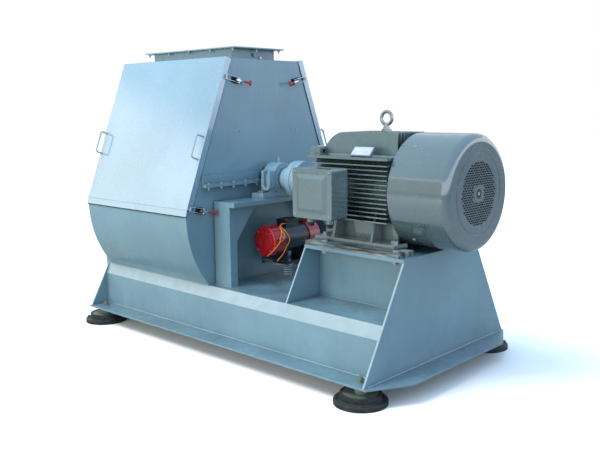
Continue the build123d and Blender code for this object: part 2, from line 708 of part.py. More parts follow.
def vibrator_spring():
    path = Helix(pitch=(BEAM_Z0 + 3 - DECK_Z - 2 * WIRE_R) / SPRING_TURNS,
                 height=BEAM_Z0 + 3 - DECK_Z - 2 * WIRE_R, radius=SPRING_R)
    wire = sweep(Plane(origin=path @ 0, z_dir=path % 0) * Circle(WIRE_R - 0.2), path=path, is_frenet=True)
    return Pos(SPRING_X, SPRING_Y, DECK_Z + WIRE_R) * wire


VIB_R = 95.0
VIB_HALF = 120.0
CAP_R = 103.0
CAP_END = 225.0


def vibrator_body():
    body = rod_y(-VIB_HALF, VIB_HALF, VIB_R, VIB_X, VIB_Z)
    body += block(VIB_X - 46, VIB_X + 82, -100, 100, BEAM_Z1, BEAM_Z1 + 18)
    body += [block(VIB_X - 46, VIB_X + 82, y - 9, y + 9, BEAM_Z1, VIB_Z) for y in (-88, 88)]
    body += block(VIB_X - 45, VIB_X + 45, -60, 60, VIB_Z, VIB_Z + 118)
    body -= rod_y(-VIB_HALF + 12, VIB_HALF - 12, 72, VIB_X, VIB_Z)
    return body - rod_y(-VIB_HALF - 1, VIB_HALF + 1, 15.1, VIB_X, VIB_Z)


def vibrator_cap():
    """Front cap, a cup over the eccentric weights."""
    cap = rod_y(-CAP_END, -VIB_HALF, CAP_R, VIB_X, VIB_Z)
    cap = fillet(cap.edges().filter_by(GeomType.CIRCLE).group_by(Axis.Y)[0], 12)
    return cap - rod_y(-CAP_END + 6, -VIB_HALF + 1, CAP_R - 8, VIB_X, VIB_Z)


def vibrator_rotor():
    rotor = rod_y(-180, 180, 15, VIB_X, VIB_Z) + rod_y(-90, 90, 66, VIB_X, VIB_Z)
    for y in (-175, 135):
        weight = rod_y(y, y + 40, 84, VIB_X, VIB_Z)
        rotor += weight & block(VIB_X - 90, VIB_X + 90, y, y + 40, VIB_Z - 90, VIB_Z + 12)
    return rotor


# ---------------------------------------------------------------- motor
MOTOR_X = (560.0, 1134.0)
BORE_R = 262.0
SHELL_R = 280.0
FIN_TOP = 1420.0
FIN_END = 1116.0
FIN_SIDE = 320.0
FIN_T = 7.0
FIN_PITCH = 32.0
SIDE_FIN_PITCH = 26.5
FOOT_BOLT = ((637.0, 1145.0), 254.0)
COWL_X = (1144.0, 1524.0)
COWL_R = 329.0


def motor_foot_places():
    return [(x, sy * FOOT_BOLT[1]) for x in FOOT_BOLT[0] for sy in (-1, 1)]


def rail_bolt_places():
    return [(x, sy * 345.0) for x in (700.0, 1220.0) for sy in (-1, 1)]


def motor_rails():
    rail = block(570, 1255, -375, -225, RAIL_Z, MOTOR_FEET_Z)
    rails = []
    for one in front_and_rear(rail):
        one -= [rod_z(RAIL_Z - 1, MOTOR_FEET_Z + 1, 12.2, x, y) for x, y in motor_foot_places()]
        one -= [rod_z(RAIL_Z - 1, MOTOR_FEET_Z + 1, 11, x, y) for x, y in rail_bolt_places()]
        rails.append(one)
    return rails


def machine_bolts():
    """Rail bolts, motor foot bolts and bearing housing bolts."""
    pieces = [Pos(x, y, MOTOR_FEET_Z) * bolt(20, MOTOR_FEET_Z - STAND_Z, 24) for x, y in rail_bolt_places()]
    pieces += [Pos(x, y, MOTOR_FEET_Z + 28) * bolt(24, 54) for x, y in motor_foot_places()]
    housing = [Pos(BEARING_X, y, PEDESTAL_TOP + 34) * bolt(24, 60) for y in (-175, 175)]
    return pieces + housing + [mirror(one, about=FAR_PLANE) for one in housing]


def top_fin(y):
    """Upright cooling fin with a round drive-end corner; the rear ones are a little lower."""
    top = FIN_TOP - 12 if y > 90 else FIN_TOP
    fin = block(MOTOR_X[0], FIN_END, y - FIN_T / 2, y + FIN_T / 2, SHAFT_Z + 130, top)
    corner = fin.edges().filter_by(Axis.Y).sort_by(lambda e: e.center().X - e.center().Z)[0]
    return fillet(corner, 170)


def motor_frame():
    x0, x1 = MOTOR_X
    frame = rod_x(x0, x1, SHELL_R)
    frame += [top_fin(FIN_PITCH * k) for k in range(-6, 7)]
    for k in range(13):
        z = SHAFT_Z - 168 + SIDE_FIN_PITCH * k
        frame += block(x0 + 10, x1, -FIN_SIDE, FIN_SIDE, z - FIN_T / 2, z + FIN_T / 2)
    frame += motor_feet()
    frame += box_neck()
    frame += lifting_lugs()
    frame += [block(x0 - 20, x1, *sorted((sy * 196.0, sy * FIN_SIDE)), 1269, 1284) for sy in (-1, 1)]
    frame -= rod_x(x0 - 60, x1 + 60, BORE_R) + rod_x(x0 - 60, x0, SHELL_R + 0.5)
    frame -= [rod_z(MOTOR_FEET_Z - 1, MOTOR_FEET_Z + 30, 14, x, y) for x, y in motor_foot_places()]
    return frame - rod_z(FIN_TOP - 40, FIN_TOP + 1, 12.1, EYE_X)


def lifting_lugs():
    """Flat lugs with a hole, on both shoulders at the drive end."""
    lugs = []
    for y in (-225, 225):
        lug = block(515, 590, y - 35, y + 35, 1262, 1335)
        lug = fillet(lug.edges().filter_by(Axis.Y).sort_by(Axis.Z)[-2:], 16)
        lugs.append(lug - rod_x(510, 595, 13, y, 1304))
    return lugs


def motor_feet():
    """Foot pads, side walls and ribs."""
    feet = []
    for sy in (-1, 1):
        y0, y1 = sorted((sy * 190.0, sy * 317.0))
        feet.append(block(597, 1187, y0, y1, MOTOR_FEET_Z, MOTOR_FEET_Z + 28))
        wall = sorted((sy * 190.0, sy * 206.0))
        feet.append(block(597, 1134, *wall, MOTOR_FEET_Z, SHAFT_Z - 190))
        for x in (728, 1012):
            rib = [(sy * 200.0, MOTOR_FEET_Z), (sy * 310.0, MOTOR_FEET_Z + 28), (sy * 268.0, SHAFT_Z - 130),
                   (sy * 200.0, SHAFT_Z - 130)]
            feet.append(prism_x(rib, x, x + 14))
    return feet


BOX_X = (625.0, 921.0)
BOX_Z = (941.0, 1227.0)
BOX_Y = (-530.0, -402.0)
COVER_Y = -552.0
BOX_WALL = 8.0


def box_neck():
    return block(700, 846, BOX_Y[1], -SHELL_R + 40, 1000, 1168)


def terminal_box():
    shell = block(*BOX_X, *BOX_Y, *BOX_Z)
    shell = fillet(shell.edges().filter_by(Axis.Y), 18)
    w = BOX_WALL
    shell -= block(BOX_X[0] + w, BOX_X[1] - w, BOX_Y[0] - 1, BOX_Y[1] - w, BOX_Z[0] + w, BOX_Z[1] - w)
    shell += [rod_z(BOX_Z[0] - 30, BOX_Z[0] + 3, 24, x, -466) for x in (700, 846)]
    shell += [rod_y(BOX_Y[0], BOX_Y[1] - 1, 13.5, x, z) for x, z in cover_screw_places()]
    return shell - [rod_y(BOX_Y[0] - 1, BOX_Y[0] + 20, 4.2, x, z) for x, z in cover_screw_places()]


def cover_screw_places():
    return [(x, z) for x in (BOX_X[0] + 20, BOX_X[1] - 20) for z in (BOX_Z[0] + 20, BOX_Z[1] - 20)]


def terminal_cover():
    """Lid with a flat screw rim round a raised, bevelled middle."""
    rim_y = BOX_Y[0] - 9
    lid = block(*BOX_X, rim_y, BOX_Y[0], *BOX_Z)
    lid = fillet(lid.edges().filter_by(Axis.Y), 18)
    middle = (sum(BOX_X) / 2, rim_y, sum(BOX_Z) / 2)
    rim = Plane(origin=middle, x_dir=(1, 0, 0), z_dir=(0, -1, 0))
    wide, tall = BOX_X[1] - BOX_X[0], BOX_Z[1] - BOX_Z[0]
    foot = rim * Rectangle(wide - 68, tall - 68)
    top = rim.offset(rim_y - COVER_Y) * Rectangle(wide - 116, tall - 116)
    lid += loft([foot, top])
    return lid - [rod_y(COVER_Y - 1, BOX_Y[0] + 1, 4.5, x, z) for x, z in cover_screw_places()]


def drive_shield():
    """Drive-end shield: flange, sloping face and bearing hub."""
    x0 = MOTOR_X[0]
    shield = rod_x(x0 - 26, x0, SHELL_R)
    shield += Pos(x0 - 70, 0, SHAFT_Z) * ALONG_X * Cone(150, 262, 44, align=FROM_BASE)
    shield += rod_x(430, x0 - 60, 110)
    shield -= rod_x(x0 - 24, x0 + 1, BORE_R - 30)
    return shield - rod_x(400, x0 + 1, 62.1)


def rear_shield():
    x1 = MOTOR_X[1]
    shield = rod_x(x1, x1 + 20, SHELL_R) + rod_x(x1, x1 + 50, 110)
    return shield - rod_x(x1 - 1, x1 + 60, 62.1)


def motor_rotor():
    shaft = rod_x(251, 421, MOTOR_SHAFT_R) + rod_x(421, MOTOR_X[1] + 52, 62)
    shaft += rod_x(MOTOR_X[1] + 50, 1345, 35)
    return shaft + rod_x(640, 1060, 178)


def motor_stator():
    return tube_x(650, 1050, BORE_R - 0.05, 180)


def motor_fan():
    fan = rod_x(1215, 1330, 70) + rod_x(1215, 1223, 250)
    for k in range(9):
        blade = block(1223, 1320, -4, 4, 60, 245)
        fan += Pos(0, 0, SHAFT_Z) * Rot(40 * k, 0, 0) * blade
    return fan - rod_x(1200, 1340, 35.05)


def fan_cowl():
    """Sheet drum with a rounded rim, a pressed ring and a slotted grille in its end."""
    x0, x1 = COWL_X
    cowl = rod_x(x0, x1, COWL_R)
    cowl = fillet(cowl.edges().filter_by(GeomType.CIRCLE).group_by(Axis.X)[-1], 44)
    cowl -= rod_x(x0 - 1, x1 - 46, COWL_R - 4) + rod_x(x1 - 47, x1 - 5, COWL_R - 50)
    cowl -= tube_x(x1 - 2, x1 + 1, 232, 226)
    cowl -= rod_x(x1 - 6, x1 + 1, GRILLE_R + 4)
    cowl += Pos(x1 - 5, 0, 0) * extrude(Plane.YZ * Pos(0, SHAFT_Z, 0) * grille(), 4)
    return cowl + rod_x(x1 - 3, x1, HUB_BLANK_R)


GRILLE_R = 180.0
SLOT_PITCH = 13.0
SLOT_LENGTH = 20.0
SLOT_GAP = 6.0
SLOT_WIDTH = 7.5
HUB_BLANK_R = 50.0            # plain middle of the grille


def grille():
    """Disc with staggered rows of short slots round a plain hub."""
    disc = Circle(GRILLE_R + 4.5)
    slots = []
    step = SLOT_LENGTH + SLOT_GAP
    for row in range(-13, 14):
        for column in range(-8, 9):
            y, z = step * (column + 0.5 * (row % 2)), SLOT_PITCH * row
            outer = sqrt((abs(y) + SLOT_LENGTH / 2) ** 2 + z * z)
            inner = sqrt(max(abs(y) - SLOT_LENGTH / 2, 0) ** 2 + z * z)
            if outer < GRILLE_R and inner > HUB_BLANK_R:
                slots.append(Pos(y, z) * Rectangle(SLOT_LENGTH, SLOT_WIDTH))
    return disc - slots


EYE_X = 892.0


def eye_bolt():
    ring = Pos(EYE_X, 0, 1499) * Rot(90, 0, 0) * Torus(38, 10)
    stem = rod_z(FIN_TOP, FIN_TOP + 14, 30, EYE_X) + rod_z(FIN_TOP - 36, FIN_TOP + 1, 12, EYE_X)
    stem += Pos(EYE_X, 0, FIN_TOP + 10) * Cone(24, 12, 42, align=FROM_BASE)
    return ring + stem


# ---------------------------------------------------------------- write every node
save("base_frame", base_frame())
save("motor_stand", motor_stand())
save("rubber_feet", *feet())
save("foot_bolts", *foot_bolts())
save("motor_rails", *motor_rails())
save("machine_bolts", *machine_bolts())

body = casing_body()
save("lower_casing", lower_casing(body))
save("upper_casing", upper_casing(body))
save("casing_bolts", *casing_bolts())
save("inlet_hopper", inlet_hopper())
save("feed_flap", feed_flap())

door = front_door()
save("front_door", door)
save("rear_door", mirror(door, about=Plane.XZ))
save("door_seals", *front_and_rear(door_seal()))

clamp_bases = []
for name, place, rear, far in clamp_places():
    clamp_bases.append(put(clamp_base(place), rear, far))
    save(f"clamp_lever_{name}", put(clamp_lever(place), rear, far))
    save(f"clamp_hook_{name}", put(clamp_hook(place), rear, far))
save("clamp_bases", *clamp_bases)

save("bearing_pedestals", drive_pedestal(), far_pedestal())
save("bearing_housings", *both_ends(bearing_housing()))
save("rotor_bearings", *both_ends(rotor_bearing()))
save("rotor_shaft", rotor_shaft())
save("rotor_discs", *rotor_discs())
save("hammer_pins", *hammer_pins())
for k in range(4):
    save(f"hammers_row_{k + 1}", *hammer_row(k))
save("mill_coupling_half", coupling_half(FLANGES[0], (62, 150), JOURNAL_R, 8.05))
save("motor_coupling_half", coupling_half(FLANGES[1], (238, 400), MOTOR_SHAFT_R, 13.5))
save("coupling_pins", *[coupling_pin(y, z) for y, z in coupling_spots()])

save("screens", *front_and_rear(screen()))
save("screen_frame", screen_frame())
save("vibrator_plate", vibrator_plate())
save("vibrator_spring", vibrator_spring())
save("vibrator_body", vibrator_body())
save("vibrator_caps", *front_and_rear(vibrator_cap()))
save("vibrator_rotor", vibrator_rotor())

save("motor_frame", motor_frame())
save("motor_end_shields", drive_shield(), rear_shield())
save("motor_stator", motor_stator())
save("motor_rotor", motor_rotor())
save("motor_fan", motor_fan())
save("fan_cowl", fan_cowl())
save("terminal_box", terminal_box())
save("terminal_cover", terminal_cover())
save("eye_bolt", eye_bolt())
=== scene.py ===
import json
import math
import random

import bmesh
import bpy
from mathutils import Matrix, Vector

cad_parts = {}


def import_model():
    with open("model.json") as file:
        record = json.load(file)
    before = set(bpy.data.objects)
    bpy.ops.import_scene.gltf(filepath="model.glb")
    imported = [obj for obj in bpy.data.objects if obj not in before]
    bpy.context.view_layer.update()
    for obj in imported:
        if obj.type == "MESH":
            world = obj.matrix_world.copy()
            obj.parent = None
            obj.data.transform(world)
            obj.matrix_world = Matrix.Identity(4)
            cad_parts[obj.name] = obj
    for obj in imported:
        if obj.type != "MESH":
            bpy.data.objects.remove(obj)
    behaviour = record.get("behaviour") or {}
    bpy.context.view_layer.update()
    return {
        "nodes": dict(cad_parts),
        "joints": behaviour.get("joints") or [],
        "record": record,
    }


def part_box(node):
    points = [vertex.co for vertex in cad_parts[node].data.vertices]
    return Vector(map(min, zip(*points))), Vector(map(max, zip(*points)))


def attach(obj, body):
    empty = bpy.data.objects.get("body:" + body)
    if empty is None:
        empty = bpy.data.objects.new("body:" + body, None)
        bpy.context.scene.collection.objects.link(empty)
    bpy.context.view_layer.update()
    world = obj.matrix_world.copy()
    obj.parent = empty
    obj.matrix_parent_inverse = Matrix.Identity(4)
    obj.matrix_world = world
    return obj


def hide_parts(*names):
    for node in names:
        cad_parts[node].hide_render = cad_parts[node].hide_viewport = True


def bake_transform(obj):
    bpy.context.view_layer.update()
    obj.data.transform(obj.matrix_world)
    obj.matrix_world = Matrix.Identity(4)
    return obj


# Looks of the hammer mill: materials on every CAD node, and the small visible
# details that ride on them. Metres, in the CAD's frame: +X to the motor, -Y front.
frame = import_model()
random.seed(7)


# ---------------------------------------------------------------- places on the CAD model
def low(node):
    """Lowest corner of a CAD node's box."""
    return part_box(node)[0]


def high(node):
    """Highest corner of a CAD node's box."""
    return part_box(node)[1]


SHAFT_Z = 1.090                                 # rotor and motor axis
COWL_END = 1.524                                # outer face of the fan cowl
CASE_FACE = high("lower_casing").x - 0.045      # drive-side end plate, inside its bolt flange
CASE_MIDDLE = (low("front_door").x + high("front_door").x) / 2
INLET_TOP = high("inlet_hopper").z
DECK = low("lower_casing").z                    # top of the deck
DECK_Y = 0.550                                  # half width of the deck
SHOULDER_Z = 0.340                              # where the base's sides lean in towards the deck
BASE_TOP = 0.115                                # top of the bottom flange plate
BASE_X = 1.300                                  # outer faces of the base's end plates
SIDE_Y = 0.582                                  # outer faces of the base's sides
FOOT_X = 1.220
FOOT_Y = 0.650
FOLD_Z = 0.932                                  # door's fold above its lower lip
VIBRATOR_X = 0.058                              # axis of the vibration motor, along Y
VIBRATOR_Z = 0.686
SIDES = (-1, 1)                                 # front and rear, or far end and drive end


# ---------------------------------------------------------------- node helpers
class Shader:
    """A material under construction: adds nodes by type and links them by name."""

    def __init__(self, name):
        self.material = bpy.data.materials.new(name)
        self.material.use_nodes = True
        self.tree = self.material.node_tree
        self.tree.nodes.clear()
        self.output = self.node("ShaderNodeOutputMaterial")
        self.bsdf = self.node("ShaderNodeBsdfPrincipled")
        self.link(self.bsdf.outputs[0], self.output.inputs[0])
        self.coords = self.node("ShaderNodeTexCoord").outputs["Object"]

    def node(self, kind, **values):
        """New node; a value goes to the input of that name, else to the setting of that name."""
        made = self.tree.nodes.new(kind)
        for key, value in values.items():
            if key in made.inputs:
                self.feed(made.inputs[key], value)
            else:
                setattr(made, key, value)
        return made

    def feed(self, socket, value):
        """Links a node's output to the socket, or sets a plain value."""
        if isinstance(value, bpy.types.NodeSocket):
            self.link(value, socket)
        else:
            socket.default_value = value

    def link(self, source, target):
        self.tree.links.new(source, target)

    def set(self, **values):
        """Inputs of the surface, their names written with _ for a space."""
        for key, value in values.items():
            self.feed(self.bsdf.inputs[key.replace("_", " ")], value)

    def noise(self, scale, detail=3.0, stretch=(1, 1, 1), rough=0.5):
        """Smooth noise fixed to the CAD's frame, squeezed along x, y and z by the stretch."""
        mapping = self.node("ShaderNodeMapping", Vector=self.coords)
        mapping.inputs["Scale"].default_value = stretch
        return self.node("ShaderNodeTexNoise", Vector=mapping.outputs[0], Scale=scale,
                         Detail=detail, Roughness=rough).outputs["Fac"]

    def ramp(self, value, start, end, to_low=0.0, to_high=1.0):
        """Value stretched from start..end to to_low..to_high, and held there outside."""
        made = self.node("ShaderNodeMapRange", Value=value)
        made.inputs["From Min"].default_value = start
        made.inputs["From Max"].default_value = end
        made.inputs["To Min"].default_value = to_low
        made.inputs["To Max"].default_value = to_high
        return made.outputs[0]

    def math(self, operation, a, b=0.0):
        made = self.node("ShaderNodeMath", operation=operation)
        self.feed(made.inputs[0], a)
        self.feed(made.inputs[1], b)
        return made.outputs[0]

    def mix(self, factor, a, b):
        made = self.node("ShaderNodeMix", data_type="RGBA")
        self.feed(made.inputs["Factor"], factor)
        self.feed(made.inputs[6], a)
        self.feed(made.inputs[7], b)
        return made.outputs[2]

    def bump(self, height, strength, distance=0.001, normal=None):
        made = self.node("ShaderNodeBump", Height=height, Strength=strength, Distance=distance)
        if normal is not None:
            self.link(normal, made.inputs["Normal"])
        return made.outputs[0]

    def soft(self, radius):
        """Normal that turns smoothly over sharp edges."""
        return self.node("ShaderNodeBevel", samples=4, Radius=radius).outputs[0]

    def sharp(self, soft):
        """1 on sharp edges, where the smooth normal leaves the face's own."""
        flat = self.node("ShaderNodeNewGeometry").outputs["Normal"]
        dot = self.node("ShaderNodeVectorMath", operation="DOT_PRODUCT")
        self.link(soft, dot.inputs[0])
        self.link(flat, dot.inputs[1])
        return self.ramp(dot.outputs["Value"], 0.98, 0.80)

    def crevice(self, reach):
        """1 deep between parts, 0 in the open."""
        occlusion = self.node("ShaderNodeAmbientOcclusion", samples=4, Distance=reach)
        return self.ramp(occlusion.outputs["AO"], 0.25, 0.85, 1.0, 0.0)

    def round_axis(self, inner, outer, face):
        """1 between two radii round the motor axis, on the end face at the given x."""
        split = self.node("ShaderNodeSeparateXYZ", Vector=self.coords)
        rise = self.math("SUBTRACT", split.outputs["Z"], SHAFT_Z)
        square = self.math("ADD", self.math("MULTIPLY", rise, rise),
                           self.math("MULTIPLY", split.outputs["Y"], split.outputs["Y"]))
        near = self.ramp(square, 0.94 * outer ** 2, outer ** 2, 1.0, 0.0)
        hub = self.ramp(square, (inner - 0.003) ** 2, inner ** 2)
        end = self.ramp(split.outputs["X"], face - 0.012, face - 0.008)
        return self.math("MULTIPLY", self.math("MULTIPLY", near, hub), end)

    def facing(self, start, end):
        """0 to 1 as a face's normal turns upward."""
        normal = self.node("ShaderNodeNewGeometry").outputs["Normal"]
        split = self.node("ShaderNodeSeparateXYZ", Vector=normal)
        return self.ramp(split.outputs["Z"], start, end)

    def up(self):
        """1 on faces that look straight up."""
        return self.facing(0.55, 0.95)

    def height(self, start, end):
        """1 at and below the start height, 0 at and above the end height, in metres."""
        split = self.node("ShaderNodeSeparateXYZ", Vector=self.coords)
        return self.ramp(split.outputs["Z"], start, end, 1.0, 0.0)


def rgb(red, green, blue):
    """sRGB 0 to 255 to the linear colour that nodes take."""
    out = []
    for value in (red, green, blue):
        value /= 255
        out.append(value / 12.92 if value <= 0.04045 else ((value + 0.055) / 1.055) ** 2.4)
    return (*out, 1.0)


def shade(colour, factor):
    """The same colour, lighter or darker."""
    return (*(min(1.0, channel * factor) for channel in colour[:3]), 1.0)


# ---------------------------------------------------------------- materials
def paint(name, colour, rough=0.38, streaks=0.25, top_darkening=0.35, coat=0.5, edge_wear_and_glint=0.5, edge=0.0025,
          coat_ior=1.6, gap_shade=0.35, wave=0.10, speckle=0.2, slope_highlight=0.0, grille_shade=None):
    """Sprayed enamel on plate: cloudy tone, runs, specks, worn edges lightened with a painted highlight, a
    painted highlight on leaning faces; darker on tops, grime low down, painted shade in gaps.

    Streaks, the darkening of tops, edge wear with its painted highlight, the painted shade in gaps, speckle
    and the painted highlight on leaning faces are amounts from 0 to 1. Wave is how much the plate is dished.
    The last argument is a ring (inner, outer, face) round the motor axis, painted dark as the shade in the
    fan grille.
    """
    s = Shader(name)
    soft = s.soft(edge)
    cloud = s.ramp(s.noise(1.7, 4), 0.35, 0.7)
    tone = s.mix(cloud, shade(colour, 0.88), shade(colour, 1.1))
    runs = s.ramp(s.noise(9, 3, (6, 6, 0.35)), 0.48, 0.72)
    tone = s.mix(s.math("MULTIPLY", runs, streaks), tone, shade(colour, 1.35))
    speck = s.ramp(s.noise(140, 2), 0.66, 0.74)
    tone = s.mix(s.math("MULTIPLY", speck, speckle), tone, rgb(96, 96, 92))
    # faces that look straight up are darkened, mottled
    top_darkening_mask = s.math("MULTIPLY", s.up(), s.ramp(s.noise(5, 5), 0.35, 0.7, 0.2, 1.0))
    tone = s.mix(s.math("MULTIPLY", top_darkening_mask, top_darkening), tone, shade(colour, 0.5))
    # painted highlight: leaning faces lightened toward pale grey, as if lit from above
    slope = s.math("MULTIPLY", s.facing(0.12, 0.3), s.math("SUBTRACT", 1.0, s.up()))
    dust_and_highlight = s.math("MULTIPLY", slope, s.ramp(s.noise(9, 5), 0.3, 0.6, 0.65, 1.0))
    tone = s.mix(s.math("MULTIPLY", dust_and_highlight, slope_highlight), tone, rgb(168, 180, 184))
    splash = s.math("MULTIPLY", s.height(0.10, 0.42), s.ramp(s.noise(11, 5), 0.42, 0.72))
    tone = s.mix(s.math("MULTIPLY", splash, 0.3), tone, shade(colour, 0.6))
    # painted shade: darker deep between parts, in creases and gaps
    tone = s.mix(s.math("MULTIPLY", s.crevice(0.045), gap_shade), tone, shade(colour, 0.16))
    # painted shade: a dark ring on the fan grille, for the shade inside the cowl
    if grille_shade:
        tone = s.mix(s.math("MULTIPLY", s.round_axis(*grille_shade), 0.7), tone, shade(colour, 0.22))
    # edge wear and painted highlight: sharp edges lightened toward pale blue-white
    worn_highlit_edges = s.math("MULTIPLY", s.sharp(soft), s.ramp(s.noise(38, 3), 0.40, 0.60))
    tone = s.mix(s.math("MULTIPLY", worn_highlit_edges, edge_wear_and_glint), tone, rgb(214, 226, 232))
    s.set(Base_Color=tone, Metallic=0.0, Coat_Weight=coat, Coat_IOR=coat_ior)
    s.set(Coat_Roughness=s.ramp(s.noise(6, 4), 0.3, 0.7, 0.04, 0.14))
    s.set(Roughness=s.ramp(s.noise(22, 3), 0.3, 0.7, rough - 0.07, rough + 0.1))
    peel = s.bump(s.noise(420, 2), 0.08, 0.0004, soft)
    s.set(Normal=s.bump(s.noise(2.6, 2), wave, 0.01, peel))
    return s.material


def metal(name, colour, rough=0.32, grain=(1, 1, 1), stain=0.3, plating=0.9):
    """Bare or plated steel with fine scratches and stains."""
    s = Shader(name)
    soft = s.soft(0.0008)
    tone = s.mix(s.ramp(s.noise(30, 4), 0.35, 0.7), shade(colour, 0.8), colour)
    stains = s.ramp(s.noise(14, 5), 0.5, 0.72)
    tone = s.mix(s.math("MULTIPLY", stains, stain), tone, rgb(95, 82, 66))
    scratch = s.noise(260, 3, grain)
    s.set(Base_Color=tone, Metallic=plating)
    s.set(Roughness=s.ramp(scratch, 0.3, 0.7, rough - 0.08, rough + 0.14))
    s.set(Normal=s.bump(scratch, 0.15, 0.0004, soft))
    return s.material


def rusty(name):
    """Scaly grey steel with lengthwise streaks and rust bloom."""
    s = Shader(name)
    soft = s.soft(0.002)
    bloom = s.ramp(s.noise(14, 6, (0.5, 1, 2), 0.65), 0.50, 0.68)
    streak = s.ramp(s.noise(26, 5, (0.18, 1, 2.6)), 0.38, 0.62)
    tone = s.mix(streak, rgb(62, 58, 54), rgb(152, 174, 180))
    tone = s.mix(s.math("MULTIPLY", bloom, 0.7), tone, rgb(112, 78, 58))
    tone = s.mix(s.math("MULTIPLY", s.sharp(soft), 0.5), tone, rgb(176, 180, 176))
    s.set(Base_Color=tone, Metallic=0.35, Roughness=s.ramp(bloom, 0, 1, 0.55, 0.88))
    s.set(Normal=s.bump(s.noise(180, 5), 0.35, 0.001, soft))
    return s.material


def rubber(name, colour=rgb(24, 25, 26), rough=0.62):
    """Moulded rubber with dust in its grain."""
    s = Shader(name)
    soft = s.soft(0.002)
    dust_and_highlight = s.ramp(s.noise(26, 5), 0.48, 0.75)
    tone = s.mix(s.math("MULTIPLY", dust_and_highlight, 0.28), colour, rgb(96, 98, 92))
    tone = s.mix(s.math("MULTIPLY", s.up(), 0.35), tone, rgb(78, 82, 78))
    s.set(Base_Color=tone, Roughness=s.ramp(dust_and_highlight, 0, 1, rough - 0.14, rough + 0.15))
    s.set(Normal=s.bump(s.noise(500, 3), 0.2, 0.0006, soft))
    return s.material


def plastic(name, colour, rough=0.4, coat=0.0):
    """Moulded or dipped plastic."""
    s = Shader(name)
    soft = s.soft(0.001)
    tone = s.mix(s.ramp(s.noise(40, 4), 0.35, 0.7), shade(colour, 0.75), colour)
    # painted highlight: sharp edges lighter than the rest
    tone = s.mix(s.math("MULTIPLY", s.sharp(soft), 0.25), tone, shade(colour, 1.5))
    s.set(Base_Color=tone, Coat_Weight=coat)
    s.set(Roughness=s.ramp(s.noise(90, 3), 0.3, 0.7, rough - 0.08, rough + 0.1))
    s.set(Normal=s.bump(s.noise(600, 2), 0.08, 0.0003, soft))
    return s.material


# the casing's leaning faces carry the painted highlight
CASING = paint("casing_paint", rgb(108, 139, 152), rough=0.36, streaks=0.12, top_darkening=0.8, slope_highlight=0.6)
DOOR = paint("door_paint", rgb(124, 155, 173), rough=0.22, streaks=0.0, top_darkening=0.1, coat=1.0, edge_wear_and_glint=0.6,
             coat_ior=2.4, wave=0.03, speckle=0.04)
MOTOR = paint("motor_paint", rgb(88, 107, 109), rough=0.30, streaks=0.1, top_darkening=0.3, coat=1.0, edge_wear_and_glint=0.5,
              edge=0.0018, coat_ior=2.0, gap_shade=0.85)
# the cowl's grille ring is painted dark as shade
COWL = paint("cowl_paint", rgb(74, 92, 96), rough=0.24, streaks=0.05, top_darkening=0.2, coat=1.0, edge_wear_and_glint=0.4,
             edge=0.002, coat_ior=2.3, gap_shade=0.3, wave=0.03, grille_shade=(0.052, 0.180, COWL_END))
HOUSING = paint("housing_paint", rgb(130, 158, 174), rough=0.38, streaks=0.0, top_darkening=0.3, coat=0.5,
                edge_wear_and_glint=0.6, edge=0.003)
RED = paint("vibrator_red", rgb(162, 16, 22), rough=0.26, streaks=0.0, top_darkening=0.08, coat=0.6, edge_wear_and_glint=0.1,
            edge=0.003)
NAVY = paint("vibrator_blue", rgb(12, 26, 38), rough=0.45, streaks=0.0, top_darkening=0.25, coat=0.3, edge_wear_and_glint=0.25,
             edge=0.002)
ZINC = metal("zinc_plate", rgb(196, 198, 196), rough=0.30)
PASSIVATED = metal("passivated_steel", rgb(132, 146, 132), rough=0.42, stain=0.6, plating=0.5)
CHROME = metal("chromed_clamp", rgb(226, 228, 230), rough=0.14, stain=0.1)
# clamp bases: steel painted dark, for the shade under the chrome levers and hooks
SHADE_DARK_STEEL = metal("steel_darkened_as_shade", rgb(52, 54, 58), rough=0.36)
SPRING = metal("spring_wire", rgb(206, 218, 220), rough=0.34, stain=0.1, plating=0.25)
ALUMINIUM = metal("aluminium_plate", rgb(196, 204, 228), rough=0.42, grain=(6, 0.3, 1), stain=0.05,
                  plating=0.3)
STEEL = metal("machined_steel", rgb(176, 178, 180), rough=0.28, grain=(0.2, 6, 6), stain=0.2)
DARK_STEEL = metal("hammer_steel", rgb(92, 92, 94), rough=0.42, stain=0.5)
RUST = rusty("mill_scale")
RUBBER = rubber("foot_rubber")
SEAL = rubber("seal_rubber", rgb(30, 30, 31), rough=0.75)
FAN = plastic("fan_plastic", rgb(34, 36, 36), rough=0.55)
GRIP = plastic("red_grip", rgb(150, 16, 38), rough=0.35, coat=0.3)
CABLE = plastic("orange_cable", rgb(250, 146, 58), rough=0.4)
BLACK = plastic("black_plastic", rgb(26, 27, 30), rough=0.42)

BY_SLOT = {
    "casing_paint": CASING, "door_paint": DOOR, "motor_paint": MOTOR, "housing_paint": HOUSING,
    "red_paint": RED, "vibrator_paint": NAVY, "zinc": ZINC, "machined_steel": STEEL,
    "hammer_steel": DARK_STEEL, "stator_iron": DARK_STEEL, "rusty_steel": RUST, "rubber": RUBBER,
    "seal_rubber": SEAL, "fan_plastic": FAN,
}
BY_NODE = {"foot_bolts": PASSIVATED, "clamp_bases": SHADE_DARK_STEEL, "vibrator_spring": SPRING, "fan_cowl": COWL}


def finish_of(entry):
    """Finish of a CAD node: its own, the clamps' chrome, or its record slot's."""
    node = entry["node"]
    if node.startswith(("clamp_lever", "clamp_hook")):
        return CHROME
    return BY_NODE.get(node, BY_SLOT[entry["material_slot"]])


def dress_cad():
    """Puts its finish on every CAD node."""
    for entry in frame["record"]["subparts"]:
        piece = frame["nodes"][entry["node"]]
        piece.data.materials.clear()
        piece.data.materials.append(finish_of(entry))


dress_cad()


